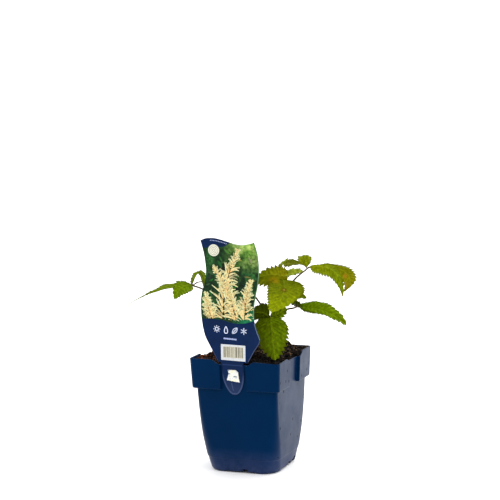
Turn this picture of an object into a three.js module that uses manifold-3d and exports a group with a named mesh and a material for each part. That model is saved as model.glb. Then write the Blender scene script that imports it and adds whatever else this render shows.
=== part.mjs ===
// Potted goats beard: a square nursery pot of soil, a plant label and five compound leaves.
// Millimetres. The origin is the middle of the pot's underside, +Z is up and the label faces -Y.

import * as THREE from "three";
import { mergeVertices } from "three/addons/utils/BufferGeometryUtils.js";
import Module from "manifold-3d";

const wasm = await Module();
wasm.setup();

// Pot
const wall = 1.2;
const rimHeight = 133.5;
const rimDip = 5.5;
const dipInner = 15.5;
const dipOuter = 27;
const collarTopHalf = 55;
const collarBottomHalf = 53.5;
const collarRadius = 4.5;
const ledgeBelow = 98.3;
const ledgeAbove = 99.6;
const ledgeHalf = 49.4;
const bodyFlare = 0.045;
const pocketHalf = 16;
const pocketDraft = 0.6;
const pocketShift = -1.2;
const floorTop = 3.2;
const crossDepth = 1.8;
const crossHalf = 19.5;
const padRadius = 15;
// Height, half width and corner radius of the body, from the feet up to the ledge.
const bodyProfile = [
  [0, 39.8, 18.6],
  [0.8, 40.9, 19.2],
  [2.4, 41.8, 19.6],
  [8, 43.1, 19.2],
  [16, 44.5, 18],
  [16.7, 44.9, 17.9],
  [30, 46.4, 15],
  [44, 47.5, 12],
  [60, 48.2, 9],
  [80, 48.8, 6.2],
  [ledgeBelow, ledgeHalf, 5],
];
const cornerSteps = 5;

// Soil
const gap = 0.3;
const soilEdge = 131;
const soilEdgeDip = 0.75;
const soilLevel = 131;
const soilMound = 5;
const holeClearance = 0.35;

// Label
const sheet = 0.8;
const panelPlane = -52;
const panelRows = 14;
const panelColumns = 8;
const neckHeight = 130.6;
const tongueHalf = 13.5;
const tongueMiddle = -2.8;
const tongueLean = 0.05;
const tongueBottom = 92.8;
const tongueRound = 26;
const stakeBottom = 104;
const stakeHalf = 12.5;
// Distance across and height of points down the panel's two wavy edges.
const panelLeft = [
  [-37.4, 270.4],
  [-33.5, 254.6],
  [-31.6, 235.3],
  [-33.3, 221.6],
  [-37.3, 210],
  [-39, 195],
  [-38.3, 177.8],
  [-35, 160.7],
  [-30.4, 151.1],
  [-25.1, 141.5],
  [-19.2, neckHeight],
];
const panelRight = [
  [27.4, 267.4],
  [31.3, 254.1],
  [32.7, 237.2],
  [31.1, 220.3],
  [27.7, 205.5],
  [25.6, 191.8],
  [25.8, 178.2],
  [28.6, 167],
  [31.9, 156.9],
  [24.4, 144],
  [16.4, neckHeight],
];
// How far the panel's top edge rises above the straight line between its corners.
const panelCrest = [0, 2.2, 1.9, -0.8, -3.1, -4.5, -4.9, -4.1, 0];
const stickerThick = 0.4;
const stickerOutline = [
  [-8.1, 122.1],
  [1.7, 122],
  [4.6, 119.9],
  [5, 114.1],
  [5.9, 107.8],
  [-1.4, 108.5],
  [-9.9, 109.8],
  [-8.5, 114.5],
  [-7.7, 118],
];

// Leaves
const blade = 0.7;
const tipHalf = 0.4;
const toothPitch = 5;
const toothDepth = 0.16;
const stalkSides = 5;
const stalkSteps = 11;
const stalkFoot = 1.5;
const stalkTop = 0.85;
const ribTip = 0.42;
// Each leaf has its stalk and, for some, a side stalk. Each leaflet has four points along its midrib,
// how far its two edges reach sideways, and how its outline fills near the base and near the tip.
const leaves = {
  leaf_left: {
    stalk: [[-12, 2, 112], [-14, 1, 128], [-21, -2, 152], [-35, -6, 189], [-54, -10, 206], [-65, -15, 211]],
    side: [[-65, -15, 211], [-64, -4, 213], [-63, 11, 212]],
    leaflets: [
      {
        rib: [[-69, -16, 214], [-92, -19, 210], [-114, -22, 203], [-143, -27, 187]],
        left: [-7, 14, 1], right: [6, -14, 0], base: 2.2, tip: 2,
      },
      {
        rib: [[-66, -17, 212], [-68, -30, 212], [-70, -43, 209], [-70, -56, 201]],
        left: [-9, 2, 6], right: [8, -2, -5], base: 0.6, tip: 0.9,
      },
      {
        rib: [[-66, -15, 212], [-65, -3, 224], [-64, 13, 219], [-67, 23, 199]],
        left: [0, -8, 0], right: [-1, 9, 0], base: 0.35, tip: 0.6,
      },
    ],
  },
  leaf_upper_right: {
    stalk: [
      [-6, 9, 112], [-4, 9, 128], [4, 12, 147], [23, 19, 174],
      [30, 21, 192], [44, 31, 215], [57, 40, 227],
    ],
    leaflets: [
      {
        rib: [[59, 40, 230], [77, 37, 231], [91, 40, 223], [97, 48, 194]],
        left: [-1, -10, -3], right: [2, 10, 4], base: 0.3, tip: 0.75,
      },
      {
        rib: [[57, 43, 228], [74, 62, 227], [92, 78, 216], [88, 83, 195]],
        left: [-4, -7, -3], right: [6, 9, 2], base: 0.7, tip: 0.5,
      },
      {
        rib: [[55, 42, 228], [54, 44, 232], [51, 48, 237], [49, 52, 241]],
        left: [9, -2, 1], right: [-9, 0, -1], base: 1, tip: 0.8,
      },
      {
        rib: [[54, 42, 229], [45, 46, 232], [34, 49, 232], [22, 54, 228]],
        left: [1, -5, 5], right: [-2, 6, -5], base: 1.7, tip: 0.55,
      },
    ],
  },
  leaf_centre: {
    stalk: [[-5, -2, 112], [-4, -2, 128], [3, 0, 145], [13, 3, 168], [21, 5, 184], [29, 5, 205], [36, 4, 216]],
    side: [[36, 4, 216], [32, 9, 224], [30, 12, 229]],
    leaflets: [
      {
        rib: [[40, 1, 219], [47, -13, 209], [48, -30, 199], [45, -47, 189]],
        left: [-15, -10, 4], right: [20, 13, -1], base: 0.45, tip: 0.85,
      },
      {
        rib: [[44, 8, 220], [35, 0, 224], [23, -8, 224], [4, -14, 218]],
        left: [0, 9, 9], right: [0, -8, -12], base: 0.4, tip: 0.7,
      },
      {
        rib: [[35, 8, 222], [42, 16, 224], [49, 24, 225], [54, 32, 225]],
        left: [-3, 9, 3], right: [3, -8, -2], base: 0.5, tip: 0.8,
      },
      {
        rib: [[30, 12, 229], [31, 19, 233], [33, 26, 236], [35, 36, 239]],
        left: [4, -8, 0], right: [-4, 8, 0], base: 0.6, tip: 0.9, onSide: true,
      },
      {
        rib: [[37, 6, 214], [46, 12, 208], [54, 18, 201], [60, 26, 194]],
        left: [-1, 9, 2], right: [0, -8, -3], base: 0.6, tip: 0.8,
      },
    ],
  },
  leaf_lower_right: {
    stalk: [[-2, 3, 112], [-1, 3, 128], [7, 5, 145], [24, 8, 170], [39, 12, 182], [48, 18, 184], [52, 21, 186]],
    leaflets: [
      {
        rib: [[52, 21, 186], [68, 24, 183], [85, 30, 178], [103, 41, 162]],
        left: [-1, 9, 5], right: [1, -8, -4], base: 0.6, tip: 0.6,
      },
      {
        rib: [[54, 24, 185], [48, 29, 186], [41, 35, 187], [33, 41, 187]],
        left: [3, -5, 4], right: [-3, 5, -4], base: 0.5, tip: 0.6,
      },
      {
        rib: [[53, 23, 184], [54, 34, 181], [55, 47, 177], [58, 59, 171]],
        left: [-1, 6, 2], right: [1, -5, -2], base: 0.6, tip: 0.7,
      },
    ],
  },
  leaf_front: {
    stalk: [
      [-8, -7, 112], [-9, -8, 128], [-14, -12, 155], [-10, -12, 192],
      [-1, -9, 206], [9, -8, 200], [17, -8, 190], [30, -15, 178],
    ],
    leaflets: [
      {
        rib: [[32, -18, 178], [36, -26, 164], [41, -35, 149], [46, -43, 134]],
        left: [-16, -4, -1], right: [16, 10, -1], base: 0.35, tip: 0.85,
      },
      {
        rib: [[31, -16, 178], [24, -16, 182], [16, -17, 183], [2, -19, 179]],
        left: [2, 7, 10], right: [0, -4, -9], base: 0.45, tip: 0.6,
      },
      {
        rib: [[31, -16, 178], [36, -10, 180], [40, -5, 182], [45, 1, 185]],
        left: [-4, 4, 5], right: [4, -2, -5], base: 0.55, tip: 0.6,
      },
    ],
  },
};

// A smooth step from 0 at `from` to 1 at `to`.
function smooth(from, to, x) {
  return THREE.MathUtils.smoothstep(x, Math.min(from, to), Math.max(from, to));
}

// A value read off a list of [place, value, value...] rows, straight between rows.
function readOff(rows, place, column) {
  const next = rows.findIndex((row) => row[0] >= place);
  if (next === 0) return rows[0][column];
  if (next < 0) return rows[rows.length - 1][column];
  const below = rows[next - 1];
  const above = rows[next];
  const share = (place - below[0]) / (above[0] - below[0]);
  return THREE.MathUtils.lerp(below[column], above[column], share);
}

// A closed body through rings of points with equal counts, with a point in the middle of each end.
function loft(rings) {
  const count = rings[0].length;
  const positions = rings.flat(2);
  const faces = [];
  for (let level = 0; level + 1 < rings.length; level += 1) {
    for (let step = 0; step < count; step += 1) {
      const a = level * count + step;
      const b = level * count + ((step + 1) % count);
      faces.push(a, b, b + count, a, b + count, a + count);
    }
  }
  for (const end of [0, rings.length - 1]) {
    const middle = positions.length / 3;
    const centre = [0, 1, 2].map((axis) => rings[end].reduce((sum, point) => sum + point[axis], 0) / count);
    positions.push(...centre);
    for (let step = 0; step < count; step += 1) {
      const a = end * count + step;
      const b = end * count + ((step + 1) % count);
      if (end === 0) faces.push(middle, b, a);
      else faces.push(middle, a, b);
    }
  }
  return solid(positions, faces);
}

// A body for joining and cutting, from flat lists of coordinates and of triangle corners.
function solid(positions, faces) {
  const mesh = { numProp: 3, vertProperties: new Float32Array(positions), triVerts: new Uint32Array(faces) };
  return new wasm.Manifold(new wasm.Mesh(mesh));
}

// The same from a three.js geometry, with the corners that its faces share merged.
function bodyOf(geometry) {
  geometry.deleteAttribute("normal");
  geometry.deleteAttribute("uv");
  const merged = mergeVertices(geometry, 1e-4);
  return solid(merged.attributes.position.array, merged.index.array);
}

// A box between two opposite corners.
function block(low, high) {
  const size = high.map((value, axis) => value - low[axis]);
  const middle = high.map((value, axis) => (value + low[axis]) / 2);
  return bodyOf(new THREE.BoxGeometry(...size).translate(...middle));
}

// The pot's outer half width at a height, away from the pocket and inside it.
function bodyHalf(z) {
  if (z > ledgeBelow) return ledgeHalf + (z - ledgeBelow) * bodyFlare;
  return readOff(bodyProfile, z, 1);
}

function collarHalf(z) {
  return THREE.MathUtils.mapLinear(z, ledgeAbove, rimHeight, collarBottomHalf, collarTopHalf);
}

// The rim's height at a distance along a side: level near the corners, lower over the pocket.
function rimAt(offset) {
  return rimHeight - rimDip * (1 - smooth(dipInner, dipOuter, Math.abs(offset)));
}

// One ring round the pot, `inset` inside its outer surface. Each of the four sides runs between
// two corner arcs, and on the collar its middle steps back into the pocket.
function potRing(z, inset, onCollar, rise = 0) {
  const half = (onCollar ? collarHalf(z) : bodyHalf(z)) - inset;
  const outerRadius = onCollar ? collarRadius : readOff(bodyProfile, z, 2);
  const radius = Math.max(outerRadius - inset, 1.5);
  const reach = half - radius;
  const spread = Math.min(1, reach / 30);
  const pocketEdge = pocketHalf + inset;
  const marks = [dipOuter, 21.5, pocketEdge, pocketEdge - pocketDraft];
  const offsets = [...marks.map((mark) => -mark), 0, ...marks.slice().reverse()];
  const points = [];
  for (let side = 0; side < 4; side += 1) {
    const line = offsets.map((offset) => {
      const inPocket = onCollar && Math.abs(offset) < pocketEdge - 0.1;
      const out = inPocket ? bodyHalf(z) - inset : half;
      return [(offset + pocketShift) * spread, -out, onCollar ? z + rise * (rimAt(offset) - rimHeight) : z];
    });
    for (let step = 0; step <= cornerSteps; step += 1) {
      const angle = (-0.5 + (0.5 * step) / cornerSteps) * Math.PI;
      line.push([reach + radius * Math.cos(angle), -reach + radius * Math.sin(angle), z]);
    }
    const turn = (side * Math.PI) / 2;
    const cos = Math.cos(turn);
    const sin = Math.sin(turn);
    points.push(...line.map(([x, y, height]) => [x * cos - y * sin, x * sin + y * cos, height]));
  }
  return points;
}

// The pot: outer surface up to the rim, inner surface back down to the floor, then cuts below.
function makePot() {
  const outer = bodyProfile.map(([z]) => potRing(z, 0, false));
  outer.push(potRing(ledgeAbove, 0, true));
  outer.push(potRing(116, 0, true, 0.5));
  outer.push(potRing(rimHeight - 0.5, 0, true, 1));
  outer.push(potRing(rimHeight, 0.35, true, 1));
  const inner = [
    potRing(rimHeight, wall - 0.35, true, 1),
    potRing(rimHeight - 0.5, wall, true, 1),
    potRing(116, wall, true, 0.5),
    potRing(ledgeAbove + wall, wall, true),
    potRing(ledgeBelow + 0.6, wall, false),
    ...[80, 60, 44, 30, 16, 8, 4.4].map((z) => potRing(z, wall, false)),
    potRing(floorTop, wall + 0.8, false),
  ];
  let pot = loft([...outer, ...inner]);
  const long = block([-60, -crossHalf, -1], [60, crossHalf, crossDepth]);
  const across = block([-crossHalf, -60, -1], [crossHalf, 60, crossDepth]);
  const pad = bodyOf(new THREE.CylinderGeometry(padRadius, padRadius, 10, 28).rotateX(Math.PI / 2));
  pot = pot.subtract(long.add(across).subtract(pad));
  for (let side = 0; side < 4; side += 1) {
    const notch = block([2.5, -50, -1], [9, -33, 4.8]);
    const drain = block([-15, -34, -1], [-5, -25, 6]);
    pot = pot.subtract(notch.add(drain).rotate([0, 0, side * 90]));
  }
  return pot;
}

// Height of the soil above its edge: a mound round the stalks with soft lumps on it.
function soilHeight(x, y) {
  const away = Math.hypot(x + 2, y - 6);
  const mound = soilMound * (1 - smooth(8, 46, away));
  const lumps = Math.sin(x * 0.21 + 1) * Math.cos(y * 0.17) + 0.6 * Math.sin(x * 0.43 - y * 0.31);
  const ends = 1 - smooth(40, 50, Math.max(Math.abs(x), Math.abs(y)));
  return mound + 0.9 * lumps * ends;
}

// The soil: a filling 0.3 mm clear of the pot, with a hole for each stalk and a slot for the stake.
function makeSoil(stalks) {
  const inset = wall + gap;
  const rings = [
    potRing(floorTop + gap, inset + 1.2, false),
    ...[8, 16, 30, 60].map((z) => potRing(z, inset, false)),
    potRing(ledgeBelow + 1.2, inset, false),
    potRing(ledgeAbove + wall + 2 * gap, inset, true),
    potRing(soilEdge - 0.8, inset, true, soilEdgeDip),
  ];
  const edge = potRing(soilEdge, inset + 0.8, true, soilEdgeDip);
  for (const share of [1, 0.93, 0.82, 0.68, 0.52, 0.35, 0.18]) {
    const toEdge = smooth(0.8, 1, share);
    rings.push(
      edge.map(([x, y, z]) => {
        const inner = soilLevel + soilHeight(x * share, y * share);
        return [x * share, y * share, THREE.MathUtils.lerp(inner, z, toEdge)];
      }),
    );
  }
  let soil = loft(rings);
  for (const stalk of stalks) {
    soil = soil.subtract(stalk);
  }
  const slotLeft = tongueMiddle - stakeHalf - 0.6;
  const slotRight = tongueMiddle + stakeHalf + 0.6;
  return soil.subtract(block([slotLeft, -50, stakeBottom - 1], [slotRight, -46.4, 150]));
}

// A point at a share of the way along a list of points, on a smooth curve through them.
function along(points, share) {
  const curve = new THREE.CatmullRomCurve3(points.map((point) => new THREE.Vector3(...point)));
  return curve.getPoint(share);
}

// A tapering stalk through some points, `extra` thicker all round and `deeper` at its start.
function makeStalk(points, startRadius, endRadius, steps, sides, extra = 0) {
  const curve = new THREE.CatmullRomCurve3(points.map((point) => new THREE.Vector3(...point)));
  const frames = curve.computeFrenetFrames(steps, false);
  const rings = [];
  for (let step = 0; step <= steps; step += 1) {
    const share = step / steps;
    const centre = curve.getPointAt(share);
    if (step === 0) centre.addScaledVector(frames.tangents[0], -extra);
    const radius = THREE.MathUtils.lerp(startRadius, endRadius, share) + extra;
    const ring = [];
    for (let side = 0; side < sides; side += 1) {
      const angle = (side / sides) * Math.PI * 2;
      const point = centre.clone();
      point.addScaledVector(frames.normals[step], Math.cos(angle) * radius);
      point.addScaledVector(frames.binormals[step], Math.sin(angle) * radius);
      ring.push(point.toArray());
    }
    rings.push(ring);
  }
  return loft(rings);
}

// A point on a leaflet's midrib: the cubic that passes its four points at 0, 1/3, 2/3 and 1.
function ribPoint(rib, t) {
  const shares = [
    -4.5 * (t - 1 / 3) * (t - 2 / 3) * (t - 1),
    13.5 * t * (t - 2 / 3) * (t - 1),
    -13.5 * t * (t - 1 / 3) * (t - 1),
    4.5 * t * (t - 1 / 3) * (t - 2 / 3),
  ];
  const point = new THREE.Vector3();
  rib.forEach((place, index) => point.addScaledVector(new THREE.Vector3(...place), shares[index]));
  return point;
}

// How wide a leaflet is at t, as a share of its widest: it rises as t^base and falls as (1 - t)^tip.
function fullness(t, base, tip) {
  const widest = base / (base + tip);
  return (t / widest) ** base * ((1 - t) / (1 - widest)) ** tip;
}

// A saw-edged blade 0.7 mm thick: stations along the midrib, three points across, on two faces
// that are split into triangles alike.
function makeBlade({ rib, left, right, base, tip }) {
  const wings = [new THREE.Vector3(...left), new THREE.Vector3(...right)];
  let length = 0;
  for (let step = 0; step < 20; step += 1) {
    length += ribPoint(rib, step / 20).distanceTo(ribPoint(rib, (step + 1) / 20));
  }
  const stations = 2 * Math.max(4, Math.round(length / toothPitch)) + 1;
  const top = [];
  const bottom = [];
  for (let station = 0; station <= stations; station += 1) {
    const t = THREE.MathUtils.clamp(station / stations, 0.01, 0.99);
    const middle = ribPoint(rib, t);
    const tangent = ribPoint(rib, Math.min(t + 0.01, 1)).sub(ribPoint(rib, Math.max(t - 0.01, 0))).normalize();
    const isTooth = station % 2 === 1;
    const reach = fullness(t, base, tip) * (isTooth ? 1 + toothDepth * 0.4 : 1 - toothDepth * 0.6);
    const edges = wings.map((wing) => {
      const along = tipHalf / wing.length();
      return middle.clone().addScaledVector(wing, reach + along).addScaledVector(tangent, isTooth ? 0.8 : 0);
    });
    const normals = wings.map((wing, side) => {
      const normal = new THREE.Vector3().crossVectors(tangent, wing).normalize();
      return side === 0 ? normal : normal.negate();
    });
    const centreNormal = normals[0].clone().add(normals[1]).normalize();
    const row = [
      [edges[0], normals[0]],
      [middle, centreNormal],
      [edges[1], normals[1]],
    ];
    for (const [point, normal] of row) {
      top.push(point.clone().addScaledVector(normal, blade / 2).toArray());
      bottom.push(point.clone().addScaledVector(normal, -blade / 2).toArray());
    }
  }
  const under = top.length;
  const faces = [];
  const quad = (a, b, c, d) => faces.push(a, b, c, a, c, d);
  for (let station = 0; station < stations; station += 1) {
    const here = station * 3;
    const next = here + 3;
    quad(here, here + 1, next + 1, next);
    quad(here + 1, here + 2, next + 2, next + 1);
    faces.push(under + here, under + next + 1, under + here + 1, under + here, under + next, under + next + 1);
    faces.push(under + here + 1, under + next + 2, under + here + 2);
    faces.push(under + here + 1, under + next + 1, under + next + 2);
    quad(here, next, under + next, under + here);
    quad(here + 2, under + here + 2, under + next + 2, next + 2);
  }
  const last = stations * 3;
  quad(0, under, under + 1, 1);
  quad(1, under + 1, under + 2, 2);
  quad(last, last + 1, under + last + 1, under + last);
  quad(last + 1, last + 2, under + last + 2, under + last + 1);
  return solid([...top, ...bottom].flat(), faces);
}

// One leaf: its stalks, its blades and a rib under each blade, joined into one body.
function makeLeaf({ stalk, side, leaflets }) {
  let leaf = makeStalk(stalk, stalkFoot, stalkTop, stalkSteps, stalkSides);
  if (side) leaf = leaf.add(makeStalk(side, stalkTop, 0.6, 4, stalkSides));
  for (const leaflet of leaflets) {
    const start = leaflet.onSide ? side[side.length - 1] : stalk[stalk.length - 1];
    const rib = [0.02, 0.1].map((t) => ribPoint(leaflet.rib, t).toArray());
    leaf = leaf.add(makeBlade(leaflet)).add(makeStalk([start, ...rib], stalkTop * 0.9, ribTip, 2, 5));
  }
  return leaf;
}

// The panel: rows of points across the sheet between its two wavy edges, on two flat faces.
function makePanel() {
  const edge = (points) => new THREE.CatmullRomCurve3(points.map(([x, z]) => new THREE.Vector3(x, 0, z)));
  const left = edge(panelLeft);
  const right = edge(panelRight);
  const rings = [];
  for (let row = panelRows; row >= 0; row -= 1) {
    const a = left.getPoint(row / panelRows);
    const b = right.getPoint(row / panelRows);
    const front = [];
    for (let column = 0; column <= panelColumns; column += 1) {
      const point = a.clone().lerp(b, column / panelColumns);
      const crest = panelCrest[column] * (1 - smooth(0, 0.5, row / panelRows));
      front.push([point.x, panelPlane - sheet / 2, point.z + crest]);
    }
    const back = front.map(([x, , z]) => [x, panelPlane + sheet / 2, z]).reverse();
    rings.push([...front, ...back]);
  }
  return loft(rings);
}

// A strip of the label: [height, depth, half width] rows, wide across the pot and `sheet` thick.
function makeStrip(rows, lean = 0) {
  const rings = rows.map(([z, y, half]) => {
    const middle = tongueMiddle + lean * (neckHeight - z);
    const left = middle - half;
    const right = middle + half;
    return [
      [left, y - sheet / 2, z],
      [right, y - sheet / 2, z],
      [right, y + sheet / 2, z],
      [left, y + sheet / 2, z],
    ];
  });
  return loft(rings);
}

// Where the tongue lies at a height: just outside the front pocket.
function tongueDepth(z) {
  return -(bodyHalf(z) + gap + 0.1 + sheet / 2);
}

// The label: the panel above the rim, the rounded tongue outside the pot and the stake inside it.
function makeLabel() {
  const tongue = [];
  for (const share of [1, 0.95, 0.85, 0.7, 0.5, 0.25, 0]) {
    const z = tongueBottom + tongueRound * (1 - share);
    const half = tongueHalf * Math.sqrt(Math.max(1 - share ** 1.8, 0.03));
    tongue.push([z, tongueDepth(z), half]);
  }
  tongue.push([122, tongueDepth(122), tongueHalf]);
  tongue.push([128.4, tongueDepth(128.4), tongueHalf]);
  tongue.push([132, panelPlane, tongueHalf]);
  const inside = (z) => -(bodyHalf(z) - wall - gap - 0.15 - sheet / 2);
  const stake = [
    [stakeBottom, inside(stakeBottom), stakeHalf * 0.6],
    [stakeBottom + 8, inside(stakeBottom + 8), stakeHalf],
    [128.2, inside(128.2), stakeHalf],
    [129.2, inside(128.2) - 0.2, stakeHalf],
    [130.6, -50.6, stakeHalf],
    [132, panelPlane, stakeHalf],
  ];
  return makePanel().add(makeStrip(tongue, tongueLean)).add(makeStrip(stake));
}

// The sticker: a thin torn patch in front of the tongue.
function makeSticker() {
  const ring = (shift) => stickerOutline.map(([x, z]) => [x, tongueDepth(z) - sheet / 2 - gap - shift, z]);
  return loft([ring(stickerThick), ring(0)]);
}

// A named mesh from a body, with its own material.
function toMesh(name, body, colour, roughness) {
  const { vertProperties, triVerts } = body.getMesh();
  const raw = new THREE.BufferGeometry();
  raw.setAttribute("position", new THREE.BufferAttribute(new Float32Array(vertProperties), 3));
  raw.setIndex(new THREE.BufferAttribute(new Uint32Array(triVerts), 1));
  const geometry = mergeVertices(raw, 1e-4);
  geometry.computeVertexNormals();
  const mesh = new THREE.Mesh(geometry, new THREE.MeshStandardMaterial({ color: colour, roughness }));
  mesh.name = name;
  return mesh;
}

const group = new THREE.Group();
group.name = "potted_goats_beard";
const holes = Object.values(leaves).map(({ stalk }) => {
  return makeStalk(stalk, stalkFoot, stalkTop, stalkSteps, stalkSides, holeClearance);
});
group.add(toMesh("pot", makePot(), 0x101f4a, 0.4));
group.add(toMesh("soil", makeSoil(holes), 0x1c130e, 0.95));
group.add(toMesh("label", makeLabel(), 0x1b2559, 0.4));
group.add(toMesh("label_sticker", makeSticker(), 0xe8e8e4, 0.8));
for (const [name, leaf] of Object.entries(leaves)) {
  group.add(toMesh(name, makeLeaf(leaf), 0x6f8a14, 0.6));
}

export default group;
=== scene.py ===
import math

import bpy
import numpy as np
from mathutils import Matrix, Vector


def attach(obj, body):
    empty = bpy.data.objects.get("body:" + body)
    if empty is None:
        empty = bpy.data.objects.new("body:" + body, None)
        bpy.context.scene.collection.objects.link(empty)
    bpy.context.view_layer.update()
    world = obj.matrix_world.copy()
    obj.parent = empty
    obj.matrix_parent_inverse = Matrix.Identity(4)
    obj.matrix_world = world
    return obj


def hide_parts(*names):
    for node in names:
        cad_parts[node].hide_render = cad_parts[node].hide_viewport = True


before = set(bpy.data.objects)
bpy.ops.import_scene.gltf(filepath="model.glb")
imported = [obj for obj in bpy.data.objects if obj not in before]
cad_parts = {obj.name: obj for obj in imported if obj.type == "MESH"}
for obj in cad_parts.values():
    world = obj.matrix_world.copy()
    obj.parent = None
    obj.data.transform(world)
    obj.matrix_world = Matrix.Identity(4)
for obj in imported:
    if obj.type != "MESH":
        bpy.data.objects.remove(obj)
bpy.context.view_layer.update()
mm = 0.001

print("stage: helpers")


# Small sums on whole arrays

def smoothStep(low, high, x):
    # 0 below low, 1 above high, and 3s^2 - 2s^3 of the share s between them
    share = np.clip((np.asarray(x, float) - low) / (high - low), 0, 1)
    return share * share * (3 - 2 * share)


def unit(vectors):
    # each row divided by its own length
    return vectors / np.maximum(np.linalg.norm(vectors, axis=-1, keepdims=True), 1e-12)


def stacked(*parts):
    # arrays side by side along a new last axis: x, y and z, or across and up
    return np.stack(np.broadcast_arrays(*parts), axis=-1)


def between(first, second, share):
    # first at share 0, second at share 1, and evenly mixed between them
    return first * (1 - share) + second * share


def turnedFlat(a, b, turn):
    # two flat coordinates turned by an angle
    return a * np.cos(turn) - b * np.sin(turn), a * np.sin(turn) + b * np.cos(turn)


def turnedUpright(points, turn):
    # points turned about the upright axis
    return stacked(*turnedFlat(points[..., 0], points[..., 1], turn), points[..., 2])


def circle(x, z, radius, sides, closed=False):
    # points round a middle, the first repeated at the end if closed
    angle = np.linspace(0, 2 * math.pi, sides, endpoint=closed)
    return stacked(x + radius * np.cos(angle), z + radius * np.sin(angle))


def readRows(rows, place, column):
    # a cubic through the rows' values at their places. Its slope at a row is the harmonic mean of the
    # slopes beside it, or none where they differ in sign, so it never swings past the values.
    rows = np.asarray(rows, float)
    at, values = rows[:, 0], rows[:, column]
    rises = np.diff(values) / np.diff(at)
    agree = rises[1:] * rises[:-1] > 0
    harmonic = 2 * rises[1:] * rises[:-1] / np.where(agree, rises[1:] + rises[:-1], 1)
    slopes = np.concatenate([rises[:1], np.where(agree, harmonic, 0), rises[-1:]])
    place = np.clip(np.asarray(place, float), at[0], at[-1])
    low = np.clip(np.searchsorted(at, place, side="right") - 1, 0, len(at) - 2)
    step = at[low + 1] - at[low]
    w = (place - at[low]) / step
    return (
        values[low] * (2 * w**3 - 3 * w**2 + 1) + values[low + 1] * (3 * w**2 - 2 * w**3)
        + step * (slopes[low] * (w**3 - 2 * w**2 + w) + slopes[low + 1] * (w**3 - w**2))
    )


def curveThrough(points, shares):
    # a smooth curve through points: each span is a cubic whose end slopes come from the spans
    # beside it, weighted by the root of their lengths
    points = np.asarray(points, float)
    longer = np.vstack([2 * points[0] - points[1], points, 2 * points[-1] - points[-2]])
    spans = len(points) - 1
    place = np.clip(np.asarray(shares, float) * spans, 0, spans - 1e-9)
    low = place.astype(int)
    w = (place - low)[:, None]
    a, b, c, d = (longer[low + k] for k in range(4))
    before, within, after = (
        np.maximum(np.linalg.norm(q - p, axis=1), 1e-4)[:, None] ** 0.5
        for p, q in ((a, b), (b, c), (c, d))
    )
    start = ((b - a) / before - (c - a) / (before + within) + (c - b) / within) * within
    end = ((c - b) / within - (d - b) / (within + after) + (d - c) / after) * within
    return b + start * w + (3 * (c - b) - 2 * start - end) * w**2 + (2 * (b - c) + start + end) * w**3


def noiseAt(points, size, seed):
    # value noise from -1 to 1: seeded random numbers on a lattice of that cell size, blended smoothly
    places = np.asarray(points, float) / size + seed * 17.31
    cell = np.floor(places)
    share = places - cell
    share = share * share * (3 - 2 * share)
    total = 0
    for corner in np.ndindex(2, 2, 2):
        lattice = (cell + corner) @ np.array([127.1, 311.7, 74.7]) + seed * 53.3
        value = np.sin(lattice) * 43758.5453
        weight = np.prod(np.where(corner, share, 1 - share), axis=-1)
        total = total + weight * (value - np.floor(value))
    return 2 * total - 1


# Parts of a mesh, kept as arrays in millimetres until they become a piece

def makePart(points, quads=(), tris=(), **marks):
    # points, faces of four and of three corners, and marks that hold a value for every point
    return {
        "points": np.asarray(points, float).reshape(-1, 3),
        "quads": np.asarray(quads, int).reshape(-1, 4),
        "tris": np.asarray(tris, int).reshape(-1, 3),
        "marks": marks,
    }


def gridQuads(rows, columns, around=False):
    # quads of a grid of points kept row by row, the last column joined to the first if around
    row = np.arange(rows - 1)[:, None] * columns
    column = np.arange(columns if around else columns - 1)[None, :]
    nextColumn = (column + 1) % columns
    corners = (row + column, row + nextColumn, row + columns + nextColumn, row + columns + column)
    return np.stack(corners, axis=-1).reshape(-1, 4)


def turnedOut(part):
    # faces reversed if the volume they enclose comes out negative
    quads, tris = part["quads"], part["tris"]
    corners = np.vstack([quads[:, [0, 1, 2]], quads[:, [0, 2, 3]], tris])
    a, b, c = (part["points"][corners[:, k]] for k in range(3))
    if np.sum(a * np.cross(b, c)) < 0:
        part["quads"], part["tris"] = quads[:, ::-1], tris[:, ::-1]
    return part


def joined(parts):
    # several parts as one, with the marks that they share
    shifts = np.cumsum([0] + [len(part["points"]) for part in parts])
    marks = {
        name: np.concatenate([part["marks"][name] for part in parts])
        for name in parts[0]["marks"]
    }
    return makePart(
        np.vstack([part["points"] for part in parts]),
        np.vstack([part["quads"] + shift for part, shift in zip(parts, shifts)]),
        np.vstack([part["tris"] + shift for part, shift in zip(parts, shifts)]),
        **marks,
    )


def closedRings(rings):
    # a body through rings of points, rows by columns by 3, each end closed by a fan to its middle
    rows, columns = rings.shape[:2]
    points = np.vstack([rings.reshape(-1, 3), rings[0].mean(0), rings[-1].mean(0)])
    step = np.arange(columns)
    after = (step + 1) % columns
    last = (rows - 1) * columns
    foot = np.stack([np.full(columns, rows * columns), after, step], axis=-1)
    head = np.stack([np.full(columns, rows * columns + 1), last + step, last + after], axis=-1)
    return turnedOut(makePart(points, gridQuads(rows, columns, around=True), np.vstack([foot, head])))


def closedSheet(front, back):
    # a thin body between two grids of points, their borders joined by a strip of quads
    rows, columns = front.shape[:2]
    count = rows * columns
    index = np.arange(count).reshape(rows, columns)
    border = np.concatenate([index[0], index[1:, -1], index[-1, -2::-1], index[-2:0:-1, 0]])
    after = np.roll(border, -1)
    strip = np.stack([after, border, border + count, after + count], axis=-1)
    grid = gridQuads(rows, columns)
    points = np.vstack([front.reshape(-1, 3), back.reshape(-1, 3)])
    return turnedOut(makePart(points, np.vstack([grid, grid[:, ::-1] + count, strip])))


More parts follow.
